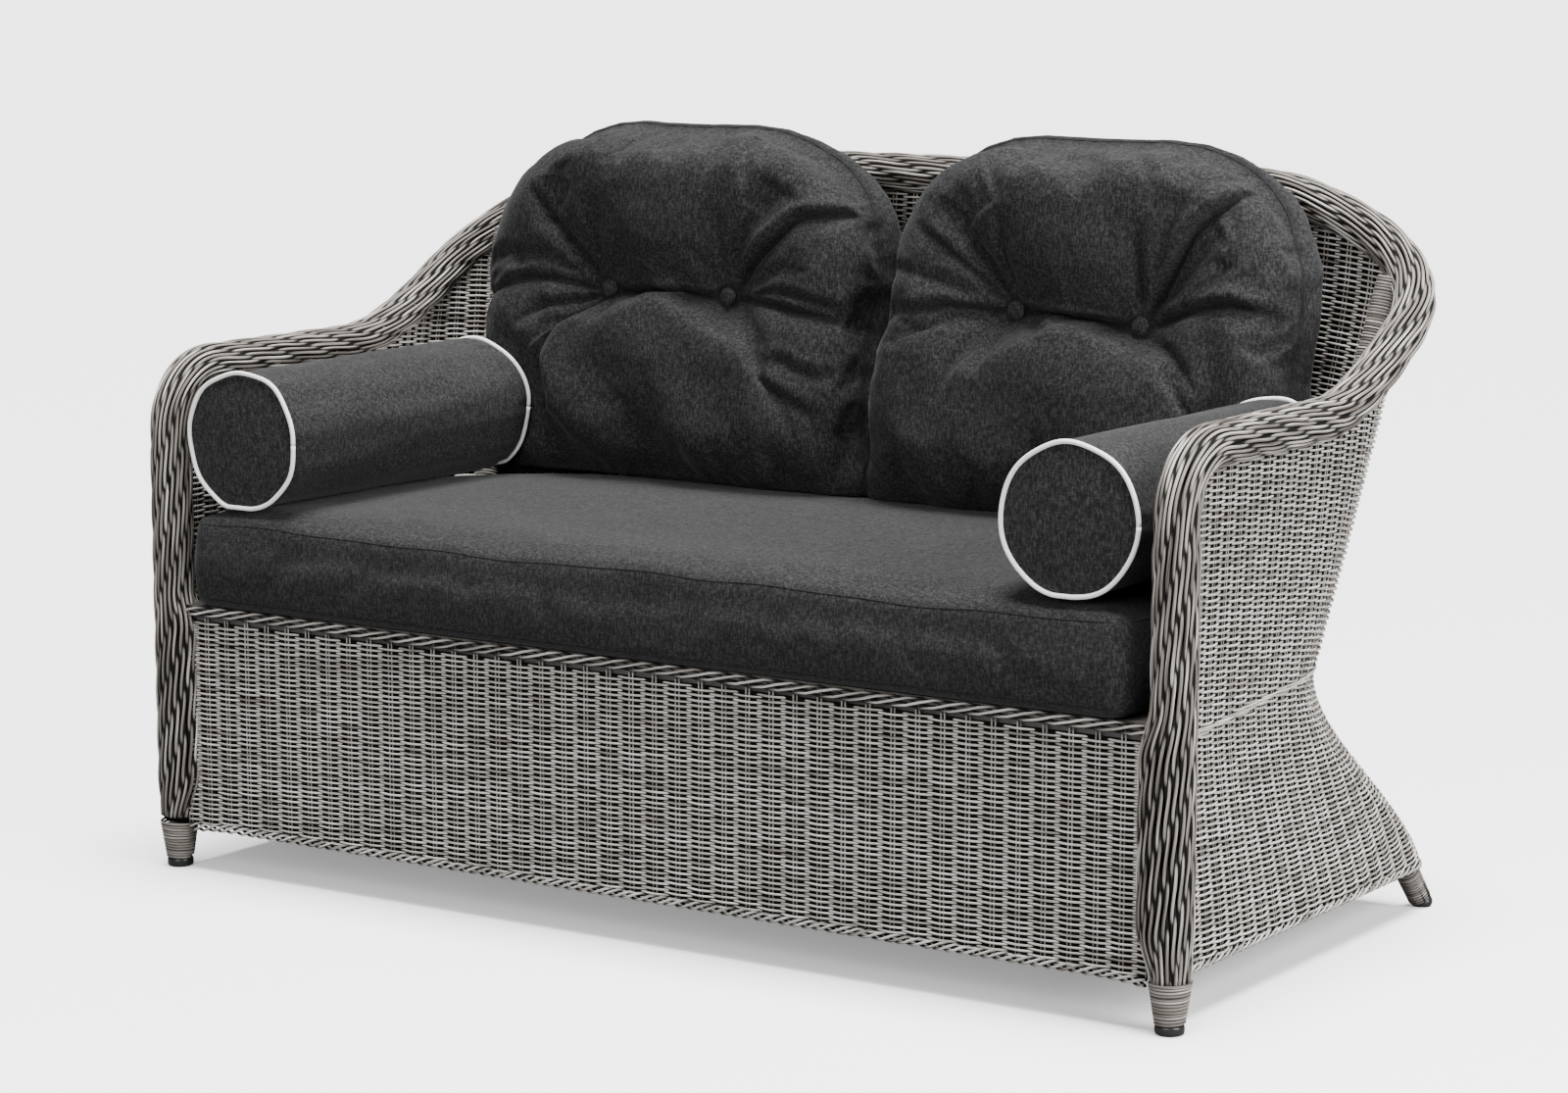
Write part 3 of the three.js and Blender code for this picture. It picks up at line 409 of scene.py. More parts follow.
# Painted shade: where the 'open' share is low, the cane turns to the shade colour.
bare_share = between_limits(cane_tree, cane_in.outputs["Open"], 0.36, 0.82, smooth_ends=True)
shaded = blend_color(cane_tree, bare_share, CANE_PAINTED_SHADE, worn)
cane_tree.links.new(shaded, cane_out.inputs["Color"])
dull = math_node(cane_tree, "SUBTRACT", 1.0, bare_share)
grain = math_node(cane_tree, "ADD", math_node(cane_tree, "MULTIPLY", fibres, 0.25), 0.4)
cane_tree.links.new(math_node(cane_tree, "MAXIMUM", grain, dull), cane_out.inputs["Roughness"])
cane_tree.links.new(fibres, cane_out.inputs["Height"])


def cane_material(name, shift=0.0):
    material, tree, shader = plain_material(name)
    where = node(tree, "ShaderNodeUVMap", {"uv_map": "along"}).outputs["UV"]
    open_share = node(tree, "ShaderNodeAttribute", {"attribute_name": "open"}).outputs["Fac"]
    finish = node(tree, "ShaderNodeGroup", {"node_tree": cane_tree}, Coordinates=where,
                  Open=open_share, Shift=shift)
    tree.links.new(finish.outputs["Color"], shader.inputs["Base Color"])
    tree.links.new(finish.outputs["Roughness"], shader.inputs["Roughness"])
    shader.inputs["Specular IOR Level"].default_value = 0.28
    bump = node(tree, "ShaderNodeBump", None, Height=finish.outputs["Height"], Strength=0.35,
                Distance=0.0004)
    tree.links.new(bump.outputs["Normal"], shader.inputs["Normal"])
    return material


cane = cane_material("wicker_cane")
cane_dark = cane_material("wicker_cane_plait", -0.2)
print("cane ready")

# %% [markdown]
# ## Cloth
# The cushions wear a heavy heather cloth. Dark and lighter yarns are spun together, so the colour
# is broken into short flecks that run with the weave, with a fine ribbed relief under them. The
# pattern follows the object's own place in space, because the pads are remeshed and have no map.

# %% Heather cloth
# The near-black of painted shade, in folds, round the buttons and along the seams.
FOLD_SHADE = (0.003, 0.003, 0.003, 1)
cloth_tree, cloth_in, cloth_out = new_group(
    "heather_cloth",
    {"Coordinates": ("vector", None), "Fold": ("value", 0.0), "Dark": ("color", (0.0026, 0.0026, 0.0028, 1)),
     "Light": ("color", (0.042, 0.042, 0.0435, 1))},
    {"Color": "color", "Height": "value"})
coordinates = cloth_in.outputs["Coordinates"]
upright = noise(cloth_tree, stretched(cloth_tree, coordinates, (470.0, 470.0, 125.0)), 1.0, 2.0, 0.7)
level = noise(cloth_tree, stretched(cloth_tree, coordinates, (170.0, 170.0, 560.0)), 1.0, 2.0, 0.7)
broad = noise(cloth_tree, coordinates, 9.0, 2.0, 0.5)
fleck = math_node(cloth_tree, "ADD", math_node(cloth_tree, "MULTIPLY", upright, 0.6),
                  math_node(cloth_tree, "MULTIPLY", level, 0.4))
fleck = math_node(cloth_tree, "MULTIPLY", between_limits(cloth_tree, fleck, 0.44, 0.66), 0.86)
fleck = math_node(cloth_tree, "ADD", fleck, math_node(cloth_tree, "MULTIPLY", broad, 0.14), clamp=True)
spun = blend_color(cloth_tree, fleck, cloth_in.outputs["Dark"], cloth_in.outputs["Light"])
# Painted shade: the 'fold' attribute darkens the cloth in the folds, round the buttons and along the seams.
spun = blend_color(cloth_tree, cloth_in.outputs["Fold"], spun, FOLD_SHADE)
cloth_tree.links.new(spun, cloth_out.inputs["Color"])
cloth_tree.links.new(math_node(cloth_tree, "ADD", upright, level), cloth_out.inputs["Height"])


def cloth_material(name, light=0.046):
    material, tree, shader = plain_material(name)
    where = node(tree, "ShaderNodeTexCoord").outputs["Object"]
    folded = node(tree, "ShaderNodeAttribute", {"attribute_name": "fold"}).outputs["Fac"]
    finish = node(tree, "ShaderNodeGroup", {"node_tree": cloth_tree}, Coordinates=where, Fold=folded,
                  Light=(light, light, light * 1.03, 1))
    tree.links.new(finish.outputs["Color"], shader.inputs["Base Color"])
    bump = node(tree, "ShaderNodeBump", None, Height=finish.outputs["Height"], Strength=0.5,
                Distance=0.0005)
    tree.links.new(bump.outputs["Normal"], shader.inputs["Normal"])
    shader.inputs["Roughness"].default_value = 0.92
    shader.inputs["Sheen Weight"].default_value = 0.05
    shader.inputs["Sheen Roughness"].default_value = 0.4
    shader.inputs["Specular IOR Level"].default_value = 0.25
    return material


cloth = cloth_material("charcoal_heather")

# %% Piping, tube and glide
def speckled(name, color, other, scale, roughness, bump_mm=0.05, gloss=0.5):
    """A plain finish with a fine grain of its own."""
    material, tree, shader = plain_material(name)
    where = node(tree, "ShaderNodeTexCoord").outputs["Object"]
    grain = noise(tree, where, scale, 3.0, 0.6)
    tint = blend_color(tree, grain, (*color, 1), (*other, 1))
    tree.links.new(tint, shader.inputs["Base Color"])
    bump = node(tree, "ShaderNodeBump", None, Height=grain, Strength=0.4, Distance=bump_mm * MM)
    tree.links.new(bump.outputs["Normal"], shader.inputs["Normal"])
    shader.inputs["Roughness"].default_value = roughness
    shader.inputs["Specular IOR Level"].default_value = gloss
    return material


cord_white = speckled("piping_white", (0.93, 0.92, 0.90), (0.80, 0.79, 0.77), 900, 0.75, 0.15)
tube_grey = speckled("powder_coat", (0.12, 0.115, 0.11), (0.18, 0.17, 0.165), 1800, 0.45, 0.03)
glide_black = speckled("glide_plastic", (0.008, 0.008, 0.009), (0.02, 0.02, 0.022), 700, 0.32)
# A near-black finish for the lining and the sleeve, which are painted shade inside the weave.
weave_shade = speckled("wicker_shade", (0.004, 0.0035, 0.003), (0.008, 0.007, 0.006), 400, 0.95,
                       gloss=0.02)
print("cloth, piping, tube and glide ready")

# %% [markdown]
# ## The woven walls
# Stakes stand in pairs round the frame, and each weaver passes in front of one pair and behind the
# next, with the row above it going the other way. The walls aren't flat: they draw in at the waist
# and flare below it, so the rows are spaced along the wall's own curve, counted up and down from the
# waist, and run out against the arm as they do on the real sofa.

# %% Weaving
ROW = 3.45          # from one row of weavers to the next
STRAND = 3.05       # a weaver's diameter
STAKE = 2.5
STAKE_APART = 4.6   # the two stakes of a pair
# STAKE_BARE sets the stakes' painted shade, a share of shade colour for lying between the weavers.
STAKE_BARE = 0.68   # how bare the stakes lie between the weavers
SWAY = 3.1          # how far a weaver goes out and in
STEPS = 4           # lengths from one pair of stakes to the next


def between(turn_from, turn_to, heights, shares):
    """The turns that divide the plan's length between two turns by these shares, at each height."""
    fine = np.linspace(turn_from, turn_to, 121)
    turns = np.empty((len(shares), len(heights)))
    for k, z in enumerate(heights):
        line = hull(fine, np.full_like(fine, z))
        run = run_along(line)
        turns[:, k] = np.interp(shares * run[-1], run, fine)
    return turns


def weave(turn_from, turn_to, stakes, seed):
    """The weavers as (column, points, normals, stand), and the columns' own places."""
    rng = np.random.default_rng(seed)
    shares = np.linspace(0, 1, stakes * STEPS + 1)
    heights = np.linspace(SKIRT_Z, BACK_Z + 12, 150)
    turns = between(turn_from, turn_to, heights, shares)
    grid = hull(turns, np.broadcast_to(heights, turns.shape))
    climb = np.linalg.norm(np.diff(grid, axis=1), axis=2)
    arc = np.concatenate([np.zeros((len(shares), 1)), np.cumsum(climb, 1)], 1)
    arc = arc - np.array([np.interp(WAIST_Z, heights, line) for line in arc])[:, None]
    top = arc[:, -1].copy()
    for _ in range(4):
        z_top = np.array([np.interp(v, line, heights) for v, line in zip(top, arc)])
        t_top = np.array([np.interp(z, heights, t) for z, t in zip(z_top, turns)])
        top = np.array([np.interp(z, heights, line) for z, line in zip(rail_over(t_top), arc)])
    wave = np.cos(math.pi * np.arange(len(shares)) / STEPS)
    rows = []
    for r in range(math.ceil(arc[:, 0].min() / ROW), math.floor(top.max() / ROW) + 1):
        v = r * ROW + uneven(rng, len(shares), 14, 0.13)
        z = np.array([np.interp(at, line, heights) for at, line in zip(v, arc)])
        t = np.array([np.interp(h, heights, line) for h, line in zip(z, turns)])
        p = hull(t, z)
        n = unit(np.cross(np.gradient(p, axis=0), hull(t, z + 1) - p))
        stand = wave * (1 if r % 2 else -1)
        reach = SWAY * (1 + uneven(rng, len(shares), 4, 0.07))
        inside = (v > arc[:, 0] + ROW * 0.4) & (v < top)
        edges = np.diff(np.concatenate([[0], inside.astype(int), [0]]))
        for a, b in zip(np.nonzero(edges == 1)[0], np.nonzero(edges == -1)[0]):
            if b - a > 2:
                rows.append((a, (p + n * (stand * reach)[:, None])[a:b], n[a:b], stand[a:b]))
    return rows, (turns, heights, arc, top)


def in_front(stand):
    """How bare a weaver lies when it stands so far out, from -1 behind the stakes to 1 before them."""
    return smooth(stand, -1.05, -0.45)


def columns(rows, low, high):
    """The part of each weaver between two columns, as strands."""
    kept = []
    for a, p, n, s in rows:
        i, j = max(low * STEPS - a, 0), min(high * STEPS - a, len(p) - 1)
        if j - i > 1:
            kept.append(strand(p[i:j + 1], n[i:j + 1], STRAND, in_front(s[i:j + 1]), in_front(-s[i:j + 1])))
    return kept


def stakes_between(places, low, high):
    """The pairs of stakes at the columns from low to high."""
    turns, heights, arc, top = places
    kept = []
    for column in range(low, high + 1):
        i = column * STEPS
        z = np.linspace(SKIRT_Z + 2, np.interp(top[i], arc[i], heights), 22)
        t = np.interp(z, heights, turns[i])
        p = hull(t, z)
        ahead = unit(hull(np.clip(t + 0.004, 0, 3), z) - hull(np.clip(t - 0.004, 0, 3), z))
        n = unit(np.cross(ahead, hull(t, z + 1) - p))
        for side in (-1, 1):
            line = p + ahead * side * STAKE_APART / 2
            kept.append(strand(line, n, STAKE, STAKE_BARE, STAKE_BARE))
    return kept


def lining(name, grid):
    """A thin dark sheet in the middle of a wall. grid has its points in mm, by column and height."""
    columns_count, rows_count = grid.shape[:2]
    points = grid.reshape(-1, 3).copy()
    points[:, 1] += BACK_SHIFT / MM
    faces = [(c * rows_count + r, (c + 1) * rows_count + r, (c + 1) * rows_count + r + 1,
              c * rows_count + r + 1) for c in range(columns_count - 1) for r in range(rows_count - 1)]
    mesh = bpy.data.meshes.new(name)
    mesh.from_pydata((points * MM).tolist(), [], faces)
    piece = bpy.data.objects.new(name, mesh)
    bpy.context.scene.collection.objects.link(piece)
    select_only(piece)
    thick = piece.modifiers.new("thick", "SOLIDIFY")
    thick.thickness = 0.5 * MM
    thick.offset = 0
    bpy.ops.object.modifier_apply(modifier=thick.name)
    face_outwards(piece)
    return piece


# %% [markdown]
# ### A lining in the middle of each wall
# Little light finds its way through two layers of round cane: seen against the white floor, the
# gaps of the real wall are dark. A thin dark sheet between the weavers gives that shade. It could
# be painted on the strands alone, but then the floor would shine through wherever four of them meet.

# %% Wall lining
lining_turns = np.concatenate([np.linspace(0.03, 1, 18), np.linspace(1.06, 2, 16), np.linspace(2.06, 3, 18)])
lining_low = np.linspace(SKIRT_Z + 1, WAIST_Z, 12) + 0 * lining_turns[:, None]
lining_high = WAIST_Z + (rail_over(lining_turns)[:, None] - WAIST_Z) * np.linspace(0, 1, 19)[1:]
lining_z = np.concatenate([lining_low, lining_high], 1)
half_lining = hull(lining_turns[:, None] + 0 * lining_z, lining_z)
other_half = (half_lining * np.array([-1, 1, 1]))[::-1][1:]
finish(lining("wall_lining", np.concatenate([half_lining, other_half])), "frame", "wicker", weave_shade)

LEG_TURN = 1.5       # where the rear legs stand
SIDE_STAKES = 20
BACK_STAKES = 22     # on half of the back
SPLIT = 14           # the back is three pieces, parted at this column

side_rows, side_places = weave(0.0, LEG_TURN, SIDE_STAKES, 3)
side_strands = columns(side_rows, 0, SIDE_STAKES) + stakes_between(side_places, 0, SIDE_STAKES)

# %% [markdown]
# ### Short rows at the waist
# The rows above and below the waist don't run alike, so the weaver filled the wedge between them
# with short rows. Their floats pass over two pairs of stakes and stand proud of the wall, so each is
# one strand that rises in the middle and dives under its neighbours at both ends.

# %% Short rows
rng = np.random.default_rng(9)
share = np.linspace(0, 1, 11)
for group in range(7):
    for k in range(3):
        turn = 0.02 + 0.165 * group + 0.05 * k + 0.19 * share
        z = 303.5 + ROW * (group + 0.55 * k) + (k - 1) * 1.8 * share + rng.normal(0, 0.25)
        lie = hull(turn, z)
        face = unit(np.cross(hull(turn + 0.01, z) - lie, hull(turn, z + 1) - lie))
        out = 4.6 * np.sin(share * math.pi) ** 0.7 - 0.6
        # How far each float stands out also sets its painted shade, dark where it dives under its
        # neighbours.
        side_strands.append(strand(lie + face * out[:, None], face, STRAND, smooth(out, -0.8, 2.2)))
finish(lay("woven_side_right", side_strands), "frame", "wicker", cane, "side_weave_right")
finish(lay("woven_side_left", mirrored(side_strands)), "frame", "wicker", cane, "side_weave_left")

back_rows, back_places = weave(LEG_TURN, 3.0, BACK_STAKES, 5)
corner_strands = columns(back_rows, 0, SPLIT) + stakes_between(back_places, 0, SPLIT)
middle_strands = columns(back_rows, SPLIT, BACK_STAKES) + stakes_between(back_places, SPLIT + 1, BACK_STAKES)
finish(lay("woven_back_right", corner_strands, 5), "frame", "wicker", cane)
finish(lay("woven_back_left", mirrored(corner_strands), 5), "frame", "wicker", cane)
finish(lay("woven_back_middle", middle_strands + mirrored(middle_strands), 5), "frame", "wicker", cane,
       "back_weave")

# %% [markdown]
# ## The apron
# The front is a flat panel of the same weave, finer by a tenth, from post to post under the seat. Its
# two edges are closed by ropes of laid strands, which also hide where the stakes end.

# %% Apron
APRON_STAKES, APRON_ROW, APRON_STRAND, APRON_BARE = 42, 3.1, 2.8, 0.72
APRON_Y, APRON_TOP, APRON_HALF = -5, 311, 666
FORWARD = np.array([0, -1, 0])

rng = np.random.default_rng(11)
along_x = np.linspace(-APRON_HALF, APRON_HALF, APRON_STAKES * STEPS + 1)
wave = np.cos(math.pi * np.arange(len(along_x)) / STEPS)
apron = []
for r, z in enumerate(np.arange(SKIRT_Z + 3, APRON_TOP, APRON_ROW)):
    stand = wave * (1 if r % 2 else -1)
    reach = SWAY * (1 + uneven(rng, len(along_x), 4, 0.08))
    height = z + uneven(rng, len(along_x), 11, 0.16)
    line = np.stack([along_x, APRON_Y - stand * reach, height], -1)
    apron.append(strand(line, FORWARD, APRON_STRAND, in_front(stand), in_front(-stand)))
for column in range(APRON_STAKES + 1):
    for side in (-1, 1):
        x = along_x[column * STEPS] + side * STAKE_APART / 2 + rng.normal(0, 0.2)
        line = [(x, APRON_Y, z) for z in (SKIRT_Z + 1, 150, 240, APRON_TOP + 9)]
        apron.append(strand(line, FORWARD, STAKE, APRON_BARE))
finish(lay("woven_apron", apron), "frame", "wicker", cane, "front_apron")
# A thin dark sheet behind the apron's weave, as painted shade seen through its gaps.
panel = np.array([[(x, APRON_Y, z) for z in (SKIRT_Z, APRON_TOP)]
                  for x in np.linspace(-APRON_HALF, APRON_HALF, 9)])
finish(lining("apron_lining", panel), "frame", "wicker", weave_shade)


# %% [markdown]
# ### Ropes along the edges
# Where a woven panel ends, the ends of its stakes are closed in by a border: four strands that are
# laid round each other like a rope and flattened against the wall. Each strand here is a helix round
# the edge's line, squeezed towards the wall, and its colour is painted dark as shade where it runs behind
# the others.

# %% Ropes
def rope(line, normals, size, count, radius, twist, flat=1.0, seed=0):
    """Strands laid round a line like a rope, flattened towards the wall it lies on."""
    rng = np.random.default_rng(seed)
    line = np.asarray(line, float)
    run = run_along(line)
    places = np.linspace(0, run[-1], max(8, int(run[-1] / (twist / 7))))
    c = np.stack([np.interp(places, run, line[:, k]) for k in range(3)], -1)
    normals = np.asarray(normals, float)
    n = unit(np.stack([np.interp(places, run, normals[:, k]) for k in range(3)], -1))
    up = np.cross(n, unit(np.gradient(c, axis=0)))
    laid = []
    for k in range(count):
        angle = 2 * math.pi * (places / twist + k / count) + uneven(rng, len(places), 9, 0.12)
        p = c + n * (np.cos(angle) * radius * flat)[:, None] + up * (np.sin(angle) * radius)[:, None]
        laid.append(strand(p, n, size, 0.5 + 0.5 * np.cos(angle)))
    return laid


ROPE_HALF = 664
BORDER = {"size": 3.5, "count": 4, "radius": 4.6, "twist": 62, "flat": 0.8}
top_line = [(x, -10, 322.5 + 1.2 * math.cos(x / 90)) for x in np.linspace(-ROPE_HALF, ROPE_HALF, 60)]
ropes = rope(top_line, [FORWARD] * 60, size=3.3, count=4, radius=5.6, twist=127, flat=0.4, seed=31)
bottom_line = [(x, -6, SKIRT_Z - 4.5 * max(0, (abs(x) - 600) / 64) ** 2)
               for x in np.linspace(-ROPE_HALF, ROPE_HALF, 90)]
ropes += rope(bottom_line, [FORWARD] * 90, seed=32, **BORDER)

skirt_turns = np.concatenate([np.linspace(0.04, 1, 30), np.linspace(1.05, 2, 14), np.linspace(2.03, 3, 36)])
skirt_line = hull(skirt_turns, np.full(len(skirt_turns), float(SKIRT_Z)))
skirt_line[:, 2] += 0.5 - 3.5 * np.clip(1 - skirt_line[:, 1] / 60, 0, 1) ** 2 * (skirt_turns < 1)
skirt_normals = np.gradient(skirt_line, axis=0)[:, [1, 0, 2]] * np.array([1, -1, 0])
skirt_rope = rope(skirt_line, skirt_normals, seed=33, **BORDER)
finish(lay("border_ropes", ropes + skirt_rope + mirrored(skirt_rope)), "frame", "wicker", cane)

# %% [markdown]
# ## The plaited roll
# One long plait covers the frame from foot to foot: up the post, over the arm, round the back and
# down again. Pairs of strands are twisted round each other, laid side by side along the tube, and each
# strand comes to the top every few centimetres as its partner goes under. The plait is thicker below
# the seat, where it takes in the apron's ends, and draws in at the ankle.

# %% The rail's line
POST_TOP = ARM_Z - BEND - 24
ROLL_RADIUS, POST_RADIUS, SWELL_X, SWELL_Y = 25.2, 26, 7, 2


def rail_line():
    """Points 6 mm apart on the rail's axis, from the right ankle over the back to the left ankle."""
    right = [(ARM_X, 0, z) for z in np.arange(56, ARM_Z - BEND, 12)]
    right += [(ARM_X, BEND * (1 - math.cos(a)), ARM_Z - BEND + BEND * math.sin(a))
              for a in np.linspace(0, math.pi / 2, 10)]
    right += [(ARM_X, d, float(rail_height(d))) for d in np.arange(BEND + 12, RAIL_SIDE, 12)]
    right += [(ARM_X - RAIL_CORNER * (1 - math.cos(a)), RAIL_SIDE + RAIL_CORNER * math.sin(a),
               float(rail_height(RAIL_SIDE + RAIL_CORNER * a))) for a in np.linspace(0, math.pi / 2, 16)]
    right += [(x, RAIL_BACK, float(rail_height(RAIL_SIDE + RAIL_TURN + ARM_X - RAIL_CORNER - x)))
              for x in np.arange(ARM_X - RAIL_CORNER - 12, 5, -12)]
    right = np.array(right)
    line = np.concatenate([right, (right * np.array([-1, 1, 1]))[::-1]])
    run = run_along(line)
    fine = np.arange(0, run[-1], 6.0)
    line = np.stack([np.interp(fine, run, line[:, k]) for k in range(3)], -1)
    for _ in range(3):
        line[1:-1] = (line[:-2] + 2 * line[1:-1] + line[2:]) / 4
    return line, fine


rail, rail_run = rail_line()
rail_along = unit(np.gradient(rail, axis=0))
rail_out = np.empty_like(rail)
outward = np.array([1.0, 0, 0])
for i, ahead in enumerate(rail_along):
    outward = outward - ahead * (outward @ ahead)
    outward /= np.linalg.norm(outward)
    rail_out[i] = outward
rail_side = np.cross(rail_along, rail_out)
print("rail", len(rail), "points", round(rail_run[-1]), "mm")

# %% Plaiting
PLAIT_ROWS = 22      # pairs side by side round the tube
POST_TWIST = 108     # a strand's way round its partner, along a post
ARM_TWIST = 126      # and along the arms and the back
PLAIT_STRAND = 3.8
PLAIT_STEP = 6.75


def swelling(z):
    """How much of the posts' swell there is at a height: none at the ankle and above the seat."""
    return smooth(z, 55, 115) * (1 - smooth(z, 295, 350))


def plait(rows, size, lift, aside, seed):
    """Pairs of strands twisted round each other along the rail."""
    rng = np.random.default_rng(seed)
    places = np.arange(0, rail_run[-1], PLAIT_STEP)
    c, o, s = (np.stack([np.interp(places, rail_run, v[:, k]) for k in range(3)], -1)
               for v in (rail, rail_out, rail_side))
    post = (c[:, 2] < POST_TOP) & (np.abs(c[:, 1]) < 2)
    swell = swelling(c[:, 2]) * post
    drawn = 3 * (1 - smooth(c[:, 2], 55, 115)) * post
    middle = c - np.array([1.0, 0, 0]) * (SWELL_X * swell * np.sign(c[:, 0]))[:, None]
    on_post = 1 - smooth(c[:, 2], POST_TOP - 60, ARM_Z)
    twists = np.cumsum(PLAIT_STEP * (on_post / POST_TWIST + (1 - on_post) / ARM_TWIST))
    laid = []
    for row in range(rows):
        around = row * 2 * math.pi / rows
        for k in (0, 1):
            phase = 2 * math.pi * (twists + row * 0.37) + k * math.pi
            phase = phase + uneven(rng, len(places), 12, 0.14)
            angle = around + aside * np.sin(phase) / ROLL_RADIUS + uneven(rng, len(places), 15, 0.015)
            wide = np.where(post, POST_RADIUS - drawn + SWELL_X * swell, ROLL_RADIUS)
            deep = np.where(post, POST_RADIUS - drawn + SWELL_Y * swell, ROLL_RADIUS)
            under = size / 2 + lift * (1 - np.cos(phase))
            x, y = np.cos(angle) * (wide - under), np.sin(angle) * (deep - under)
            p = middle + o * x[:, None] + s * y[:, None]
            n = o * np.cos(angle)[:, None] + s * np.sin(angle)[:, None]
            # Each strand's colour is painted dark as shade where it lies under its partner.
            laid.append(strand(p, n, size, smooth(np.cos(phase), -1.1, 0.5)))
    return laid, c


def parted(laid, low, high):
    """The part of each strand between two places along the rail."""
    return [(p[low:high + 1], n[low:high + 1], s[low:high + 1], w) for p, n, s, w in laid]


laid, middle = plait(PLAIT_ROWS, PLAIT_STRAND, 1.2, 1.9, 21)
BACK_ROLL_END = 418
on_back = np.nonzero((np.abs(middle[:, 0]) < BACK_ROLL_END) & (middle[:, 1] > 600))[0]
finish(lay("plait_right", parted(laid, 0, on_back[0])), "frame", "wicker", cane_dark, "arm_roll_right",
       "post_plait_right")
finish(lay("plait_back", parted(laid, on_back[0], on_back[-1])), "frame", "wicker", cane_dark, "back_roll")
finish(lay("plait_left", parted(laid, on_back[-1], len(middle) - 1)), "frame", "wicker", cane_dark,
       "arm_roll_left", "post_plait_left")

# %% [markdown]
# ### What lies under the plait
# Between the strands of the plait one sees the shade on the tube below. A dark sleeve stands for
# it, thicker where the plait swells. Where the plait meets the wall, a single strand and a thin twist
# of two close the corner beside each post.

# %% Sleeve
swell_z = np.linspace(60, 350, 24)
swell_x = ARM_X - 12.5 * swelling(swell_z)
swollen = [strand(np.stack([swell_x, 0 * swell_z, swell_z], -1), (0, 1, 0), 41.0)]
tube_line = [strand(rail[::4], rail_out[::4], 38.0)]
sleeve = lay("roll_sleeve", tube_line + swollen + mirrored(swollen), 14, 1.0)
finish(sleeve, "frame", "wicker", weave_shade)

# %% Edges beside the posts
edge_z = np.arange(60, 560, 12.0)
edge_line = np.stack([683.5 + 0 * edge_z, 29.0 + 0.4 * np.sin(edge_z / 40), edge_z], -1)
edge = [strand(edge_line, (1, 0, 0), PLAIT_STRAND, 0.9)]
twist_line = [(684.5, 26.0, z) for z in edge_z]
edge += rope(twist_line, [(0.9, 0.4, 0)] * len(edge_z), size=3.0, count=2, radius=1.7, twist=50, seed=41)
finish(lay("edge_strands", edge + mirrored(edge)), "frame", "wicker", cane)

# %% [markdown]
# ## Wound feet
# A single strand is wound round each foot, turn on turn, down to the plastic glide. The coil narrows
# towards the glide. The rear legs are wound in the same way: at the foot, and again above the seat,
# where the leg stands in the corner behind the cushions.

# %% Coils
def coil(line, foot_radius, head_radius, per_turn=22):
    """A strand wound round a tapering leg along its line, from foot to head."""
    line = np.asarray(line, float)
    run = run_along(line)
    turns = run[-1] / COIL_PITCH
    share = np.linspace(0, 1, int(turns * per_turn))
    centre = np.stack([np.interp(share * run[-1], run, line[:, k]) for k in range(3)], -1)
    axis = unit(np.gradient(centre, axis=0))
    first = unit(np.cross(axis, (0, 1, 0)))
    second = np.cross(axis, first)
    angle = (share * turns * 2 * math.pi)[:, None]
    radius = foot_radius + (head_radius - foot_radius) * share - COIL_STRAND / 2
    n = first * np.cos(angle) + second * np.sin(angle)
    return [strand(centre + n * radius[:, None], n, COIL_STRAND, 0.86)]


COIL_PITCH, COIL_STRAND = 3.55, 3.35
front = coil([(ARM_X, 0, 12), (ARM_X, 0, SKIRT_Z)], 17.2, 24.2)
# A thick core inside the coil, in the cane's shade colour: painted shade seen between the turns.
front += [strand([(ARM_X, 0, 11), (ARM_X, 0, SKIRT_Z)], (0, 1, 0), 27.0)]
finish(lay("foot_coil_right", front, 8), "frame", "wicker", cane_dark, "front_leg_wrap_right")
finish(lay("foot_coil_left", mirrored(front), 8), "frame", "wicker", cane_dark, "front_leg_wrap_left")

# %% Rear legs
LEG_INSIDE = 20.3    # from the wall's middle in to the leg's axis
LEG_COIL = 16.2
leg_heights = np.linspace(SKIRT_Z, CROWN_Z, 25)
inwards = np.array([math.sqrt(0.5), math.sqrt(0.5), 0])
leg = hull(np.full(25, LEG_TURN), leg_heights) - inwards * LEG_INSIDE
splay = (leg[0] - leg[3]) / (leg[3][2] - leg[0][2])
ankle = leg[0] + splay * (SKIRT_Z - 11)
rear = coil([ankle, leg[1] + (leg[1] - leg[0]) * 0.2], 14.2, LEG_COIL)
rear += coil(np.concatenate([leg[9:], [2 * leg[-1] - leg[-2]]]), LEG_COIL, LEG_COIL, 12)
# The leg's thick core, in the cane's shade colour: painted shade seen between the coil's turns.
rear += [strand(np.concatenate([[ankle], leg[1:]]), (0, 1, 0), 29.5)]
finish(lay("rear_coil_right", rear, 8), "frame", "wicker", cane_dark, "rear_leg_wrap_right")
finish(lay("rear_coil_left", mirrored(rear), 8), "frame", "wicker", cane_dark, "rear_leg_wrap_left")

# %% [markdown]
# ## Cushions
# A stuffed cushion is a bag under pressure. Its cloth can't stretch, so it wrinkles wherever something
# holds it: at the sewn edge and at the buttons, which pull both faces together. A cloth simulation
# finds that shape by itself. Each pad starts from the CAD solid, drawn in a little, gets an even mesh,
# and is blown up with its buttons held. The sharp folds that cloth of this weight shows are narrower
# than the mesh of the simulation, so they are pressed in afterwards, and the seams lie on top as cords.

# %% A pad from its solid
def places_of(mesh):
    flat = np.empty(len(mesh.vertices) * 3, np.float32)
    mesh.vertices.foreach_get("co", flat)
    return flat.reshape(-1, 3).astype(float)


def normals_of(mesh):
    flat = np.empty(len(mesh.vertices) * 3, np.float32)
    mesh.vertex_normals.foreach_get("vector", flat)
    return flat.reshape(-1, 3).astype(float)


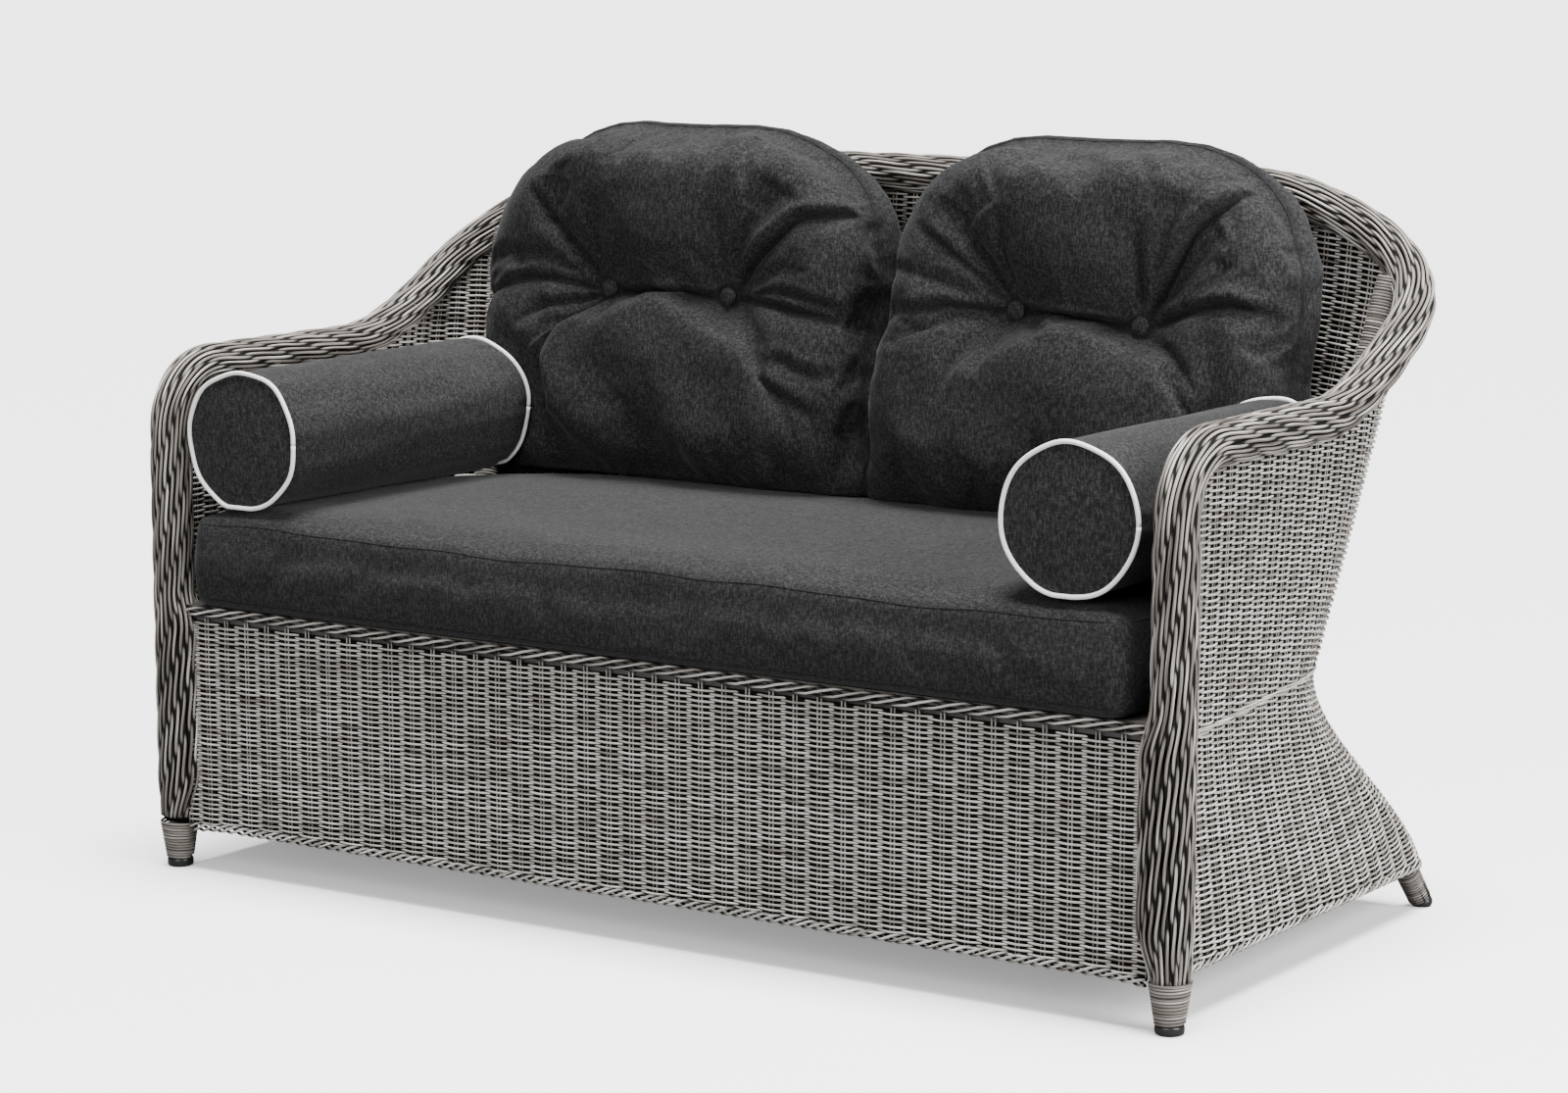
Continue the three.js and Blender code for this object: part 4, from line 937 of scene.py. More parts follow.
def set_places(mesh, places):
    mesh.vertices.foreach_set("co", places.astype(np.float32).ravel())
    mesh.update()


def pad_from(source, name, voxel):
    """A copy of a CAD solid with an even mesh, its voxels in mm."""
    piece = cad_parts[source].copy()
    piece.data = piece.data.copy()
    piece.name = piece.data.name = name
    for key in list(piece.keys()):
        del piece[key]
    piece.parent = None
    bpy.context.scene.collection.objects.link(piece)
    piece.hide_set(False)
    piece.hide_render = False
    select_only(piece)
    remesh = piece.modifiers.new("even", "REMESH")
    remesh.mode = "VOXEL"
    remesh.voxel_size = voxel * MM
    bpy.ops.object.modifier_apply(modifier=remesh.name)
    return piece


# %% [markdown]
# ### Pressure
# The cloth modifier treats the pad as a closed bag. Points in the group "held" don't move, those in
# the group "seam" shrink, as a thread that is pulled tight gathers the cloth, and the rest is let out
# by a few hundredths. Twenty steps are enough for the shape to settle. No point may end far from its
# start, so the cushion keeps the size of the real one.

# %% Blowing up a pad
def mark_points(piece, name, chosen):
    """A vertex group of the chosen points."""
    piece.vertex_groups.new(name=name).add(np.nonzero(chosen)[0].tolist(), 1.0, "REPLACE")


def blow_up(piece, held, seam, pressure, shrink, seam_shrink, cap, frames):
    """Cloth under pressure: held points stay, the seam draws in, and no point moves beyond cap in mm."""
    start = places_of(piece.data)
    mark_points(piece, "held", held)
    mark_points(piece, "seam", seam)
    cloth_sim = piece.modifiers.new("cloth", "CLOTH")
    settings = cloth_sim.settings
    settings.quality = 5
    settings.mass = 0.25
    settings.tension_stiffness = settings.compression_stiffness = 18
    settings.shear_stiffness = 8
    settings.bending_stiffness = 0.6
    settings.use_pressure = True
    settings.uniform_pressure_force = pressure
    settings.shrink_min = shrink
    settings.shrink_max = seam_shrink
    settings.vertex_group_shrink = "seam"
    settings.vertex_group_mass = "held"
    settings.effector_weights.gravity = 0
    cloth_sim.collision_settings.use_collision = False
    cloth_sim.collision_settings.use_self_collision = False
    cloth_sim.point_cache.frame_start = 1
    cloth_sim.point_cache.frame_end = frames
    scene = bpy.context.scene
    for now in range(1, frames + 1):
        scene.frame_set(now)
    shaped = piece.evaluated_get(bpy.context.evaluated_depsgraph_get())
    moved = places_of(shaped.data) - start
    scene.frame_set(1)
    piece.modifiers.remove(cloth_sim)
    length = np.linalg.norm(moved, axis=1, keepdims=True)
    limit = cap * MM
    moved *= np.where(length > limit, limit / np.maximum(length, 1e-9), 1)
    set_places(piece.data, start + moved)
    print(piece.name, "moved up to", round(float(length.max() / MM), 1), "mm, mean",
          round(float(length.mean() / MM), 1))


# %% [markdown]
# ### A cushion's own measure
# Folds and seams are easiest to place on the cushion as it was cut, before it is filled. So each point
# keeps its first place as an attribute, which the subdivision passes on to the new points between.

# %% The cushion's own measure
def remember(mesh, own):
    """Keeps each point's place in the cushion's own measure, so that it survives the subdivision."""
    mesh.attributes.new("own", "FLOAT_VECTOR", "POINT").data.foreach_set(
        "vector", own.astype(np.float32).ravel())


def recalled(mesh):
    flat = np.empty(len(mesh.vertices) * 3, np.float32)
    mesh.attributes["own"].data.foreach_get("vector", flat)
    return flat.reshape(-1, 3).astype(float)


def refine(piece):
    select_only(piece)
    finer = piece.modifiers.new("finer", "SUBSURF")
    finer.levels = finer.render_levels = 1
    bpy.ops.object.modifier_apply(modifier=finer.name)
    bpy.ops.object.shade_smooth()


def settle(where, points, own, reach=4):
    """Where points of the cushion's own measure lie after it was blown up."""
    found = np.empty((len(where), 3))
    for k, at in enumerate(where):
        far = ((own - at) ** 2).sum(1)
        near = np.argpartition(far, reach)[:reach]
        weight = 1 / (far[near] + 1.0)
        found[k] = (points[near] * weight[:, None]).sum(0) / weight.sum()
    return found


def rounded_line(corners, steps, spacing):
    """Points on a closed line with round corners, each (x, y, radius, angle that it starts at)."""
    points = []
    for x, y, radius, start in corners:
        for angle in np.radians(np.linspace(start, start + 90, steps)):
            points.append((x + radius * math.cos(angle), y + radius * math.sin(angle)))
    points = np.array(points + points[:1])
    run = run_along(points)
    at = np.arange(0, run[-1], spacing)
    return np.stack([np.interp(at, run, points[:, 0]), np.interp(at, run, points[:, 1])], -1)


# %% [markdown]
# ### Back cushions
# Two of them, alike but not identical. Each is a bag of two rounded faces on a boxed edge, with two
# buttons through it. They lean on the back, so their own measure is turned with them, and bent where
# the outer half follows the rounded corner of the sofa.

# %% Size and place of the back cushions
CUSHION_WIDE, CUSHION_HIGH, EDGE_HALF = 584, 450, 27
TOP_CORNER, FOOT_CORNER = 205, 80
FOOT_Y, LEAN, PUSH = 500, math.radians(6.5), 22
APART = 6             # between the two cushions, in the solids
BUTTON_X, BUTTON_Z = 92, 246
HALF_WIDE = CUSHION_WIDE / 2
SEAT_HALF, SEAT_REAR, SEAT_CORNER = 652, 219, 300
BOLSTER_X, BOLSTER_R, BOLSTER_FRONT, BOLSTER_LONG = 568, 83.6, -10, 458
BOLSTER_Z = (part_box("bolster_right")[0][2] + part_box("bolster_right")[1][2]) / 2 / MM
seat_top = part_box("seat_cushion")[1][2]
print("seat top", round(seat_top / MM), "mm, bolster axis", round(BOLSTER_Z), "mm")


def inside_outline(x, z):
    """How far a place on a face is inside the cushion's outline."""
    corner = np.where(z > CUSHION_HIGH / 2, TOP_CORNER, FOOT_CORNER)
    dx = np.abs(x) - (HALF_WIDE - corner)
    dz = np.abs(z - CUSHION_HIGH / 2) - (CUSHION_HIGH / 2 - corner)
    outer = np.hypot(np.maximum(dx, 0), np.maximum(dz, 0)) + np.minimum(np.maximum(dx, dz), 0)
    return corner - outer


def from_buttons(x, up):
    """How far a place on a face is from the nearer button."""
    return np.minimum(np.hypot(x - BUTTON_X, up - BUTTON_Z), np.hypot(x + BUTTON_X, up - BUTTON_Z))


def back_own(points, side, foot_z):
    """Metres in the frame to the cushion's own mm: across, out (front is negative), up."""
    x = points[:, 0] / MM - side * (CUSHION_WIDE + APART) / 2
    y = points[:, 1] / MM - (FOOT_Y + BACK_SHIFT / MM)
    z = points[:, 2] / MM - foot_z
    out = y * math.cos(LEAN) - z * math.sin(LEAN)
    up = y * math.sin(LEAN) + z * math.cos(LEAN)
    return np.stack([x, out - PUSH * np.maximum(0, x * side / HALF_WIDE) ** 2, up], -1)


def back_world(own, side, foot_z):
    """The same the other way."""
    out = own[:, 1] + PUSH * np.maximum(0, own[:, 0] * side / HALF_WIDE) ** 2
    x = own[:, 0] + side * (CUSHION_WIDE + APART) / 2
    y = out * math.cos(LEAN) + own[:, 2] * math.sin(LEAN) + FOOT_Y + BACK_SHIFT / MM
    z = own[:, 2] * math.cos(LEAN) - out * math.sin(LEAN) + foot_z
    return np.stack([x, y, z], -1) * MM


# %% The cover before it is filled
COVER_SEEDS = {1: 7, -1: 19}


def slack_cover(own, side):
    """Plump inside its edge, bellied between its two seams, and a little uneven."""
    x, out, up = own.T
    edge = inside_outline(x, up)
    slack = own.copy()
    plump = 15 * np.exp(-((edge - 42) / 48) ** 2) * smooth(from_buttons(x, up), 20, 90)
    slack[:, 1] = out * 0.95 + np.sign(out) * plump * smooth(np.abs(out), 20, 40)
    belly = 9 * (1 - np.minimum(np.abs(out) / EDGE_HALF, 1) ** 2) * (edge < 12)
    slack[:, 0] += belly * np.clip(x / 230, -1, 1)
    slack[:, 2] += belly * np.clip((up - CUSHION_HIGH / 2) / 160, -1, 1)
    rng = np.random.default_rng(COVER_SEEDS[side])
    ripple = sum(rng.normal(0, 0.8) * np.sin(x * rng.uniform(0.01, 0.05) + up * rng.uniform(0.01, 0.05)
                                             + rng.uniform(0, 6)) for _ in range(9))
    slack[:, 1] += ripple * smooth(edge, 0, 40) * np.sign(out)
    return slack


# %% [markdown]
# ### How a back cushion sits
# A cushion that has been leaned on is no longer symmetric. Its foot has flattened on the seat, its
# crown tips back, and its neighbours press its edges in at some heights and let them out at others.
# These are a few smooth moves over the whole pad, which a lattice could make too, but a formula for
# each is easier to read and to change.

# %% Sitting
# How far each cushion's edges were pressed sideways: (heights, left edge, right edge).
SETTLED = {
    "left": ((0, 100, 195, 267, 325, 354, 411, 450), (-4, -14, -20, -13, -10, -10, -11, 0),
             (0, 0, 2, 10, 18, 22, 26, 16)),
    "right": ((0, 100, 178, 230, 285, 350, 395, 450), (-4, -2, 4, 14, 20, 24, 8, 0),
              (0, -9, -22, -20, -19, -16, -6, 0)),
}
FOOT_DROP = 28        # how far the foot would reach down if the seat didn't carry it


def sat_down(now, own, word):
    """Tips the crown, squares and drops the foot, presses the sides and rolls the edge back."""
    x, out, up = own.T
    edge = inside_outline(x, up)
    from_edge = np.maximum(edge, 0)
    crown = smooth(up, 290, 430)
    now[:, 2] -= crown * (0.55 * np.maximum(out + 22, 0) + 9 * np.exp(-(from_edge / 24) ** 2))
    past_x = np.maximum(np.abs(x) - HALF_WIDE + FOOT_CORNER, 0)
    past_z = np.maximum(FOOT_CORNER - up, 0)
    fuller = 0.3 * (2 * past_x * past_z / np.maximum(past_x ** 2 + past_z ** 2, 1)) ** 2
    now[:, 0] += np.sign(x) * past_x * fuller
    now[:, 2] -= past_z * fuller
    now[:, 0] *= (HALF_WIDE + 6) / np.abs(now[:, 0]).max()
    now[:, 2] = (now[:, 2] - now[:, 2].min()) * (CUSHION_HIGH + 1) / np.ptp(now[:, 2])
    now[:, 2] -= FOOT_DROP * (1 - smooth(up, 10, 120))
    heights, left_edge, right_edge = SETTLED[word]
    pressed = np.where(now[:, 0] < 0, np.interp(now[:, 2], heights, left_edge),
                       np.interp(now[:, 2], heights, right_edge))
    now[:, 0] += pressed * np.clip(np.abs(now[:, 0]) / HALF_WIDE, 0, 1) ** 1.5
    rolled = np.exp(-(from_edge / 46) ** 2) * (1 - smooth(out, 5, 60))
    now[:, 1] += (10 * smooth(up, 120, 220) + 16 * smooth(up, 300, 430)) * rolled


def beside_neighbours(world, out, side):
    """Dents the cushion behind its bolster, and lets it rest on the seat and hang over its corner."""
    beside = np.hypot(world[:, 0] / MM - side * BOLSTER_X, world[:, 2] / MM - BOLSTER_Z)
    dent = (1 - smooth(beside, BOLSTER_R + 4, BOLSTER_R + 50)) * (out < EDGE_HALF)
    behind = (BOLSTER_FRONT + BOLSTER_LONG + 7) * MM + BACK_SHIFT
    world[:, 1] += np.maximum(behind - world[:, 1], 0) * dent
    past = np.clip(np.abs(world[:, 0]) / MM - (SEAT_HALF - SEAT_CORNER), 0, SEAT_CORNER - 1)
    seat_end = SEAT_REAR - SEAT_CORNER + np.sqrt(SEAT_CORNER ** 2 - past ** 2)
    carried = smooth(seat_end - world[:, 1] / MM, -14, 10)
    world[:, 2] = np.maximum(world[:, 2], seat_top + (0.5 - 12 * (1 - carried)) * MM)


# %% [markdown]
# ### Folds
# The deepest fold joins the buttons, and others run from each button to the edge, where the cloth has
# nowhere else to go. Their courses are given as points on the front face, with a depth for each, and
# one side of a fold stands over the other as heavy cloth does. Where two folds meet, the deeper one
# counts, because adding them up would dig a pit at each button.

# %% Courses of the folds
# Each fold: its course as (across, up), its depth, its width and the lip on one side of it.
LEFT_FOLDS = [
    ([(-92, 246), (-40, 236), (20, 231), (92, 246)], 14, 3.6, 0.5),
    ([(92, 246), (20, 231), (-40, 236), (-92, 246)], 7, 4.5, -0.3),
    ([(-92, 246), (-126, 279), (-164, 311), (-190, 340)], 9, 4, -0.3),
    ([(-92, 246), (-96, 290), (-99, 340)], 5, 9, 0.2),
    ([(-92, 246), (-130, 240), (-186, 228), (-285, 190)], 8, 4.5, -0.35),
    ([(-92, 246), (-125, 222), (-160, 199), (-200, 165)], 7, 4.5, 0.3),
    ([(-92, 246), (-115, 205), (-139, 172), (-156, 130), (-160, 40)], 8, 5, 0.35),
    ([(92, 246), (86, 290), (84, 335)], 5, 8, -0.2),
    ([(92, 246), (125, 275), (156, 291), (190, 314), (241, 321), (296, 316)], 12, 4.5, 0.45),
    ([(92, 246), (120, 239), (156, 223), (198, 207), (270, 196)], 11, 4.5, 0.4),
    ([(150, 238), (186, 230), (270, 208)], 7, 4, 0.3),
    ([(170, 122), (200, 108), (245, 90)], 6, 5, 0.3),
    ([(190, 150), (220, 138), (262, 132)], 5, 5, 0.3),
    ([(284, 412), (262, 409), (240, 404)], 6, 4, 0.2),
    ([(296, 372), (275, 371), (255, 366)], 6, 4, 0.2),
]
RIGHT_FOLDS = [
    ([(-92, 246), (-40, 237), (20, 232), (92, 246)], 14, 3.6, 0.5),
    ([(92, 246), (20, 232), (-40, 237), (-92, 246)], 7, 4.5, -0.3),
    ([(-92, 246), (-123, 289), (-152, 314)], 9, 4, -0.3),
    ([(-92, 246), (-140, 272), (-180, 293), (-219, 314)], 7, 4.5, -0.3),
    ([(-92, 246), (-94, 300), (-97, 350)], 6, 7, 0.2),
    ([(-92, 246), (-130, 238), (-171, 231), (-232, 213)], 8, 4.5, -0.35),
    ([(-150, 250), (-220, 262), (-290, 274)], 4, 6, 0.2),
    ([(-92, 246), (-123, 218), (-147, 166), (-158, 110)], 5, 7, 0.3),
    ([(92, 246), (88, 300), (84, 345)], 6, 7, -0.2),
    ([(92, 246), (125, 290), (154, 328), (202, 362), (245, 382)], 11, 4.5, 0.4),
    ([(292, 402), (221, 394), (154, 374)], 8, 4.5, 0.3),
    ([(290, 338), (262, 335), (236, 322)], 7, 4, 0.3),
    ([(92, 246), (120, 247), (159, 244), (212, 245), (286, 236)], 12, 4.5, 0.45),
    ([(150, 252), (180, 262), (215, 300)], 4, 7, 0.2),
    ([(110, 300), (135, 350), (170, 395)], 4, 8, 0.2),
]
FOLD_SCALE = 1.5      # how much deeper than listed the folds are pressed
REAR_FOLDS = 8        # the first ones show on the rear face too, half as deep


def crease(x, z, course, depth, width, lip):
    """How deep a fold along a course lies under a place, with a lip on one side of it, and how dark the
    fold is there: its bottom is narrower than the mesh, so its shade is kept as a mask."""
    best = np.full(x.shape, 1e9)
    side = np.zeros(x.shape)
    share = np.zeros(x.shape)
    total = sum(math.dist(a, b) for a, b in zip(course, course[1:]))
    gone = 0.0
    for (ax, az), (bx, bz) in zip(course, course[1:]):
        ex, ez = bx - ax, bz - az
        length = math.hypot(ex, ez)
        t = np.clip(((x - ax) * ex + (z - az) * ez) / length ** 2, 0, 1)
        ox, oz = x - ax - t * ex, z - az - t * ez
        far = np.hypot(ox, oz)
        nearer = far < best
        best = np.where(nearer, far, best)
        side = np.where(nearer, np.sign(ex * oz - ez * ox), side)
        share = np.where(nearer, (gone + t * length) / total, share)
        gone += length
    fade = np.clip((1.02 - share) / 0.35, 0, 1) ** 0.8
    valley = 0.55 * np.exp(-(best / width) ** 2) + 0.45 * np.exp(-(best / (3.2 * width)) ** 2)
    ridge = np.exp(-((best - 2.6 * width) / (1.7 * width)) ** 2) * (side * lip > 0) * abs(lip)
    return depth * fade * (valley - ridge), depth / 13 * fade * np.exp(-(best / 3.2) ** 2)


# %% Pressing the folds and the buttons in
BUTTONS = {"left": ((-84, 236), (98, 233)), "right": ((-80, 239), (87, 231))}


def buttoned(now, own, word):
    """Moves each button to its place, takes the cloth round it along, and fills its bed a little."""
    x, out, up = own.T
    for which, (button_x, button_z) in zip((-1, 1), BUTTONS[word]):
        far = np.hypot(x - which * BUTTON_X, up - BUTTON_Z)
        knot = now[(far < 9) & (out < 0)].mean(0)
        pull = np.exp(-(far / 70) ** 2)
        now[:, 0] += (button_x - knot[0]) * pull
        now[:, 2] += (button_z - knot[2]) * pull
        now[:, 1] -= np.sign(-out) * 9 * np.exp(-(far / 17) ** 2)


def folded(now, own, folds):
    """Presses the folds and the gathers of the seams in, and gives the share of shade at each point."""
    x, out, up = own.T
    edge = inside_outline(x, up)
    near = from_buttons(x, up)
    front, inner = smooth(-out, 8, 24), smooth(edge, 4, 30)
    cut, dark = np.array([crease(x, up, *fold) for fold in folds]).transpose(1, 0, 2)
    eased = 0.25 + 0.75 * smooth(near, 8, 34)
    deep = FOLD_SCALE * (np.maximum(cut.max(0), 0) + np.minimum(cut.min(0), 0)) * eased
    rear_deep = np.array([crease(-x, up, *fold)[0] for fold in folds[:REAR_FOLDS]]).max(0) * 0.5
    shade = dark.max(0) * front * inner * 0.85 * smooth(near, 6, 16)
    # Painted shade: a dark ring round each button, where the cloth dips into its dimple.
    shade = np.maximum(shade, 0.8 * np.exp(-((near - 13.5) / 3.5) ** 2))
    # Painted shade along the sewn edge, for the groove of the seam.
    sewn = 0.7 * np.exp(-(edge / 4) ** 2 - ((np.abs(out) - EDGE_HALF) / 5) ** 2)
    now[:, 1] += deep * front * inner - rear_deep * smooth(out, 8, 24) * inner
    around = np.arctan2(up - CUSHION_HIGH / 2, x)
    gathers = sum(math.sin(k) * np.sin(around * n + k * 2.1)
                  for k, n in ((1, 31), (2, 43), (4, 57), (5, 71)))
    near_seam = np.exp(-((np.abs(edge) - 9) / 9) ** 2) * smooth(np.abs(out), 14, 27)
    now[:, 1] += gathers * 0.9 * near_seam * np.sign(out)
    return np.maximum(shade, sewn).astype(np.float32)


# %% [markdown]
# ### Buttons and seams
# A covered button is a flattened ball with a drawn-in rim, and a seam is a thin cord of the same
# cloth, painted darker as the shade in the seam's groove. Both are placed by the cushion's own measure
# and then looked up on the finished pad, so they lie where its cloth has gone.

# %% Buttons and seams
BUTTON_RADIUS, BUTTON_FRONT, BUTTON_BACK = 11.4, 5.6, 6.0
# The seam cords' cloth is painted darker, as shade in the seam's groove.
cloth_edge = cloth_material("charcoal_seam", 0.016)
lean_out = np.array([0, -math.cos(LEAN), math.sin(LEAN)])


def covered_button(name, place, aim, body, source):
    """A small cloth-covered button that faces along aim."""
    bpy.ops.mesh.primitive_uv_sphere_add(segments=28, ring_count=16, radius=1)
    piece = bpy.context.object
    piece.name = piece.data.name = name
    points = places_of(piece.data)
    rim = np.hypot(points[:, 0], points[:, 1]) > 0.9
    points[:, 2] = np.where(points[:, 2] > 0, points[:, 2] * BUTTON_FRONT - 0.5 * rim,
                            points[:, 2] * BUTTON_BACK)
    points[:, :2] *= BUTTON_RADIUS
    turn = Vector((0, 0, 1)).rotation_difference(Vector(aim)).to_matrix()
    set_places(piece.data, points @ np.array(turn).T * MM + place)
    select_only(piece)
    bpy.ops.object.shade_smooth()
    finish(piece, body, "cushion_cloth", cloth, source)


def seam_cord(name, own_line, own, points, normals, body, width=1.9, lift=0.1):
    """A cord sewn along a closed line of the cushion's own measure."""
    line = settle(own_line, points, own)
    out = settle(own_line, normals, own)
    for _ in range(2):
        line = (np.roll(line, 1, 0) + 2 * line + np.roll(line, -1, 0)) / 4
    line = np.concatenate([line, line[:1]]) / MM
    out = unit(np.concatenate([out, out[:1]]))
    line = line + out * lift
    line[:, 1] -= BACK_SHIFT / MM
    finish(lay(name, [strand(line, out, width)], 6, 0.8), body, "cushion_cloth", cloth_edge)


def sew(pad, own, word, body):
    """Both seams of a back cushion, and its four buttons."""
    x, out, up = own.T
    points, normals = places_of(pad.data), normals_of(pad.data)
    foot = (HALF_WIDE - FOOT_CORNER, FOOT_CORNER)
    top = (HALF_WIDE - TOP_CORNER, CUSHION_HIGH - TOP_CORNER)
    ring = rounded_line(((foot[0], foot[1], FOOT_CORNER, -90), (top[0], top[1], TOP_CORNER, 0),
                         (-top[0], top[1], TOP_CORNER, 90), (-foot[0], foot[1], FOOT_CORNER, 180)),
                        24, 5.0)
    for face, end in ((-1, "front"), (1, "rear")):
        line = np.stack([ring[:, 0], np.full(len(ring), float(face * EDGE_HALF)), ring[:, 1]], -1)
        seam_cord("back_seam_" + end + "_" + word, line, own, points, normals, body)
        for which, letter in ((-1, "_a"), (1, "_b")):
            bed = np.hypot(x - which * BUTTON_X, up - BUTTON_Z) + 100 * (out * face < 0)
            place = points[np.argsort(bed)[:12]].mean(0) + lean_out * (-face) * 5 * MM
            source = "button_" + word + "_" + end + letter
            covered_button(source + "_cover", place, lean_out * -face, body, source)


# %% Making the back cushions
for side, word, folds in ((1, "right", RIGHT_FOLDS), (-1, "left", LEFT_FOLDS)):
    node_name = "back_cushion_" + word
    foot_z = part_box(node_name)[0][2] / MM + EDGE_HALF * math.sin(LEAN)
    pad = pad_from(node_name, "back_pad_" + word, 6.5)
    own = back_own(places_of(pad.data), side, foot_z)
    remember(pad.data, own)
    x, out, up = own.T
    held = from_buttons(x, up) < 9
    seam = (np.abs(inside_outline(x, up)) < 7) & (np.abs(np.abs(out) - EDGE_HALF) < 7)
    set_places(pad.data, back_world(slack_cover(own, side), side, foot_z))
    blow_up(pad, held, seam, 4.0, -0.035, 0.03, 24, 20)
    refine(pad)
    own = recalled(pad.data)
    now = back_own(places_of(pad.data), side, foot_z)
    sat_down(now, own, word)
    buttoned(now, own, word)
    shade = folded(now, own, folds)
    pad.data.attributes.new("fold", "FLOAT", "POINT").data.foreach_set("value", shade)
    world = back_world(now, side, foot_z)
    beside_neighbours(world, own[:, 1], side)
    set_places(pad.data, world)
    finish(pad, node_name, "cushion_cloth", cloth, node_name)
    sew(pad, own, word, node_name)
    print(pad.name, len(pad.data.polygons) * 2, "triangles")

# %% [markdown]
# ### Seat cushion
# One long box cushion. Its top is nearly flat, because the foam fills the cover, and the cover is a
# little loose at the front edge, where people sit down. Two seams run round it, near the top and near
# the foot.

# %% Blowing up the seat cushion
SEAM_TOP, SEAM_FOOT = 438, 341
pad = pad_from("seat_cushion", "seat_pad", 11)
low, high = (np.array(corner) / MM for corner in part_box("seat_cushion"))
own = places_of(pad.data) / MM
remember(pad.data, own)
x, y, z = own.T
centre = (low + high) / 2
slack = own.copy()
slack[:, :2] = centre[:2] + (own[:, :2] - centre[:2]) * 0.994
wall = np.minimum(np.minimum(x - low[0], high[0] - x), y - low[1])
seam = ((np.abs(z - SEAM_TOP) < 7) | (np.abs(z - SEAM_FOOT) < 7)) & (wall < 20)
set_places(pad.data, slack * MM)
blow_up(pad, z < low[2] + 3, seam, 0.8, -0.006, 0.006, 3, 14)
refine(pad)

# %% The seat cushion's loose front edge
own = recalled(pad.data)
now = places_of(pad.data) / MM
x, y, z = own.T
from_front = y - low[1]
sag = 2.2 * np.sin(x / 97 + 0.6) + 1.4 * np.sin(x / 41 + 2.0) + 1.1 * np.sin(x / 23)
now[:, 2] += sag * np.exp(-(from_front / 60) ** 2) * smooth(z, 350, 436) * 0.8
bulge = np.sin(np.clip((z - 335) / 110, 0, 1) * math.pi)
now[:, 1] += (1.6 * np.sin(x / 68 + 1) + 1.0 * np.sin(x / 29)) * np.exp(-(from_front / 25) ** 2) * bulge
above = np.maximum(now[:, 2] - low[2], 0)
now[:, 2] = low[2] + above * (high[2] - low[2]) / above.max()
set_places(pad.data, now * MM)
# A darker copy of the cloth for the seat cushion: painted shade, because its top faces the overhead light.
cloth_seat_painted_shade = cloth_material("charcoal_heather_seat_painted_shade", 0.038)
finish(pad, "seat_cushion", "cushion_cloth", cloth_seat_painted_shade, "seat_cushion")
print(pad.name, len(pad.data.polygons) * 2, "triangles")

# %% The seat cushion's seams
SEAM_HALF, SEAM_FRONT, SEAM_REAR = 649, -27 + BACK_SHIFT / MM, 539 + BACK_SHIFT / MM
points, normals = places_of(pad.data), normals_of(pad.data)
near_x, near_y = SEAM_HALF - 22, SEAM_FRONT + 22
far_x, far_y = SEAM_HALF - SEAT_CORNER, SEAM_REAR - SEAT_CORNER
ring = rounded_line(((near_x, near_y, 22, -90), (far_x, far_y, SEAT_CORNER, 0),
                     (-far_x, far_y, SEAT_CORNER, 90), (-near_x, near_y, 22, 180)), 20, 9.0)
for level, end in ((SEAM_TOP, "top"), (SEAM_FOOT, "foot")):
    line = np.concatenate([ring, np.full((len(ring), 1), float(level))], 1)
    seam_cord("seat_seam_" + end, line, own, points, normals, "seat_cushion")

# %% [markdown]
# ### Bolsters
# A bolster is a cloth tube with a round panel sewn into each end, and a white cord in that seam. The
# stuffing settles, so the ends aren't true circles: they are flattened where they lie and a little
# uneven elsewhere. The tube and its cords follow one and the same outline.

# %% A bolster's outline and stations
def bolster_radius(angle, seed):
    """The bolster's radius round its axis, flattened below."""
    rng = np.random.default_rng(seed)
    wave = sum(rng.normal(0, 0.021) / k * np.sin(k * angle + rng.uniform(0, 6)) * (1 + k / 6)
               for k in (2, 3, 4, 5, 7, 9))
    radius = BOLSTER_R * (0.992 + wave)
    down = np.maximum(-np.sin(angle), 1e-6)
    return np.minimum(radius, np.where(down > 0.3, (BOLSTER_R - 2.2) / down, 1e3))


def bolster_stations():
    """Places along the axis, each with its blend from the front outline to the rear one, and its share
    of the radius, which is less than 1 on the end panels."""
    panel = [(5.5 * (1 - share ** 2.4) - 0.8 * share, max(share, 0.004))
             for share in (0.0, 0.15, 0.35, 0.55, 0.75, 0.9, 0.97)]
    tube = np.concatenate([[0.4, 3, 7, 13], np.linspace(22, BOLSTER_LONG - 22, 46),
                           BOLSTER_LONG - np.array([13, 7, 3, 0.4])])
    return ([(-rise, 0.0, share) for rise, share in panel]
            + [(y, y / BOLSTER_LONG, 1.0) for y in tube]
            + [(BOLSTER_LONG + rise, 1.0, share) for rise, share in panel[::-1]])


# %% Making the bolsters
BOLSTER_AROUND = 112


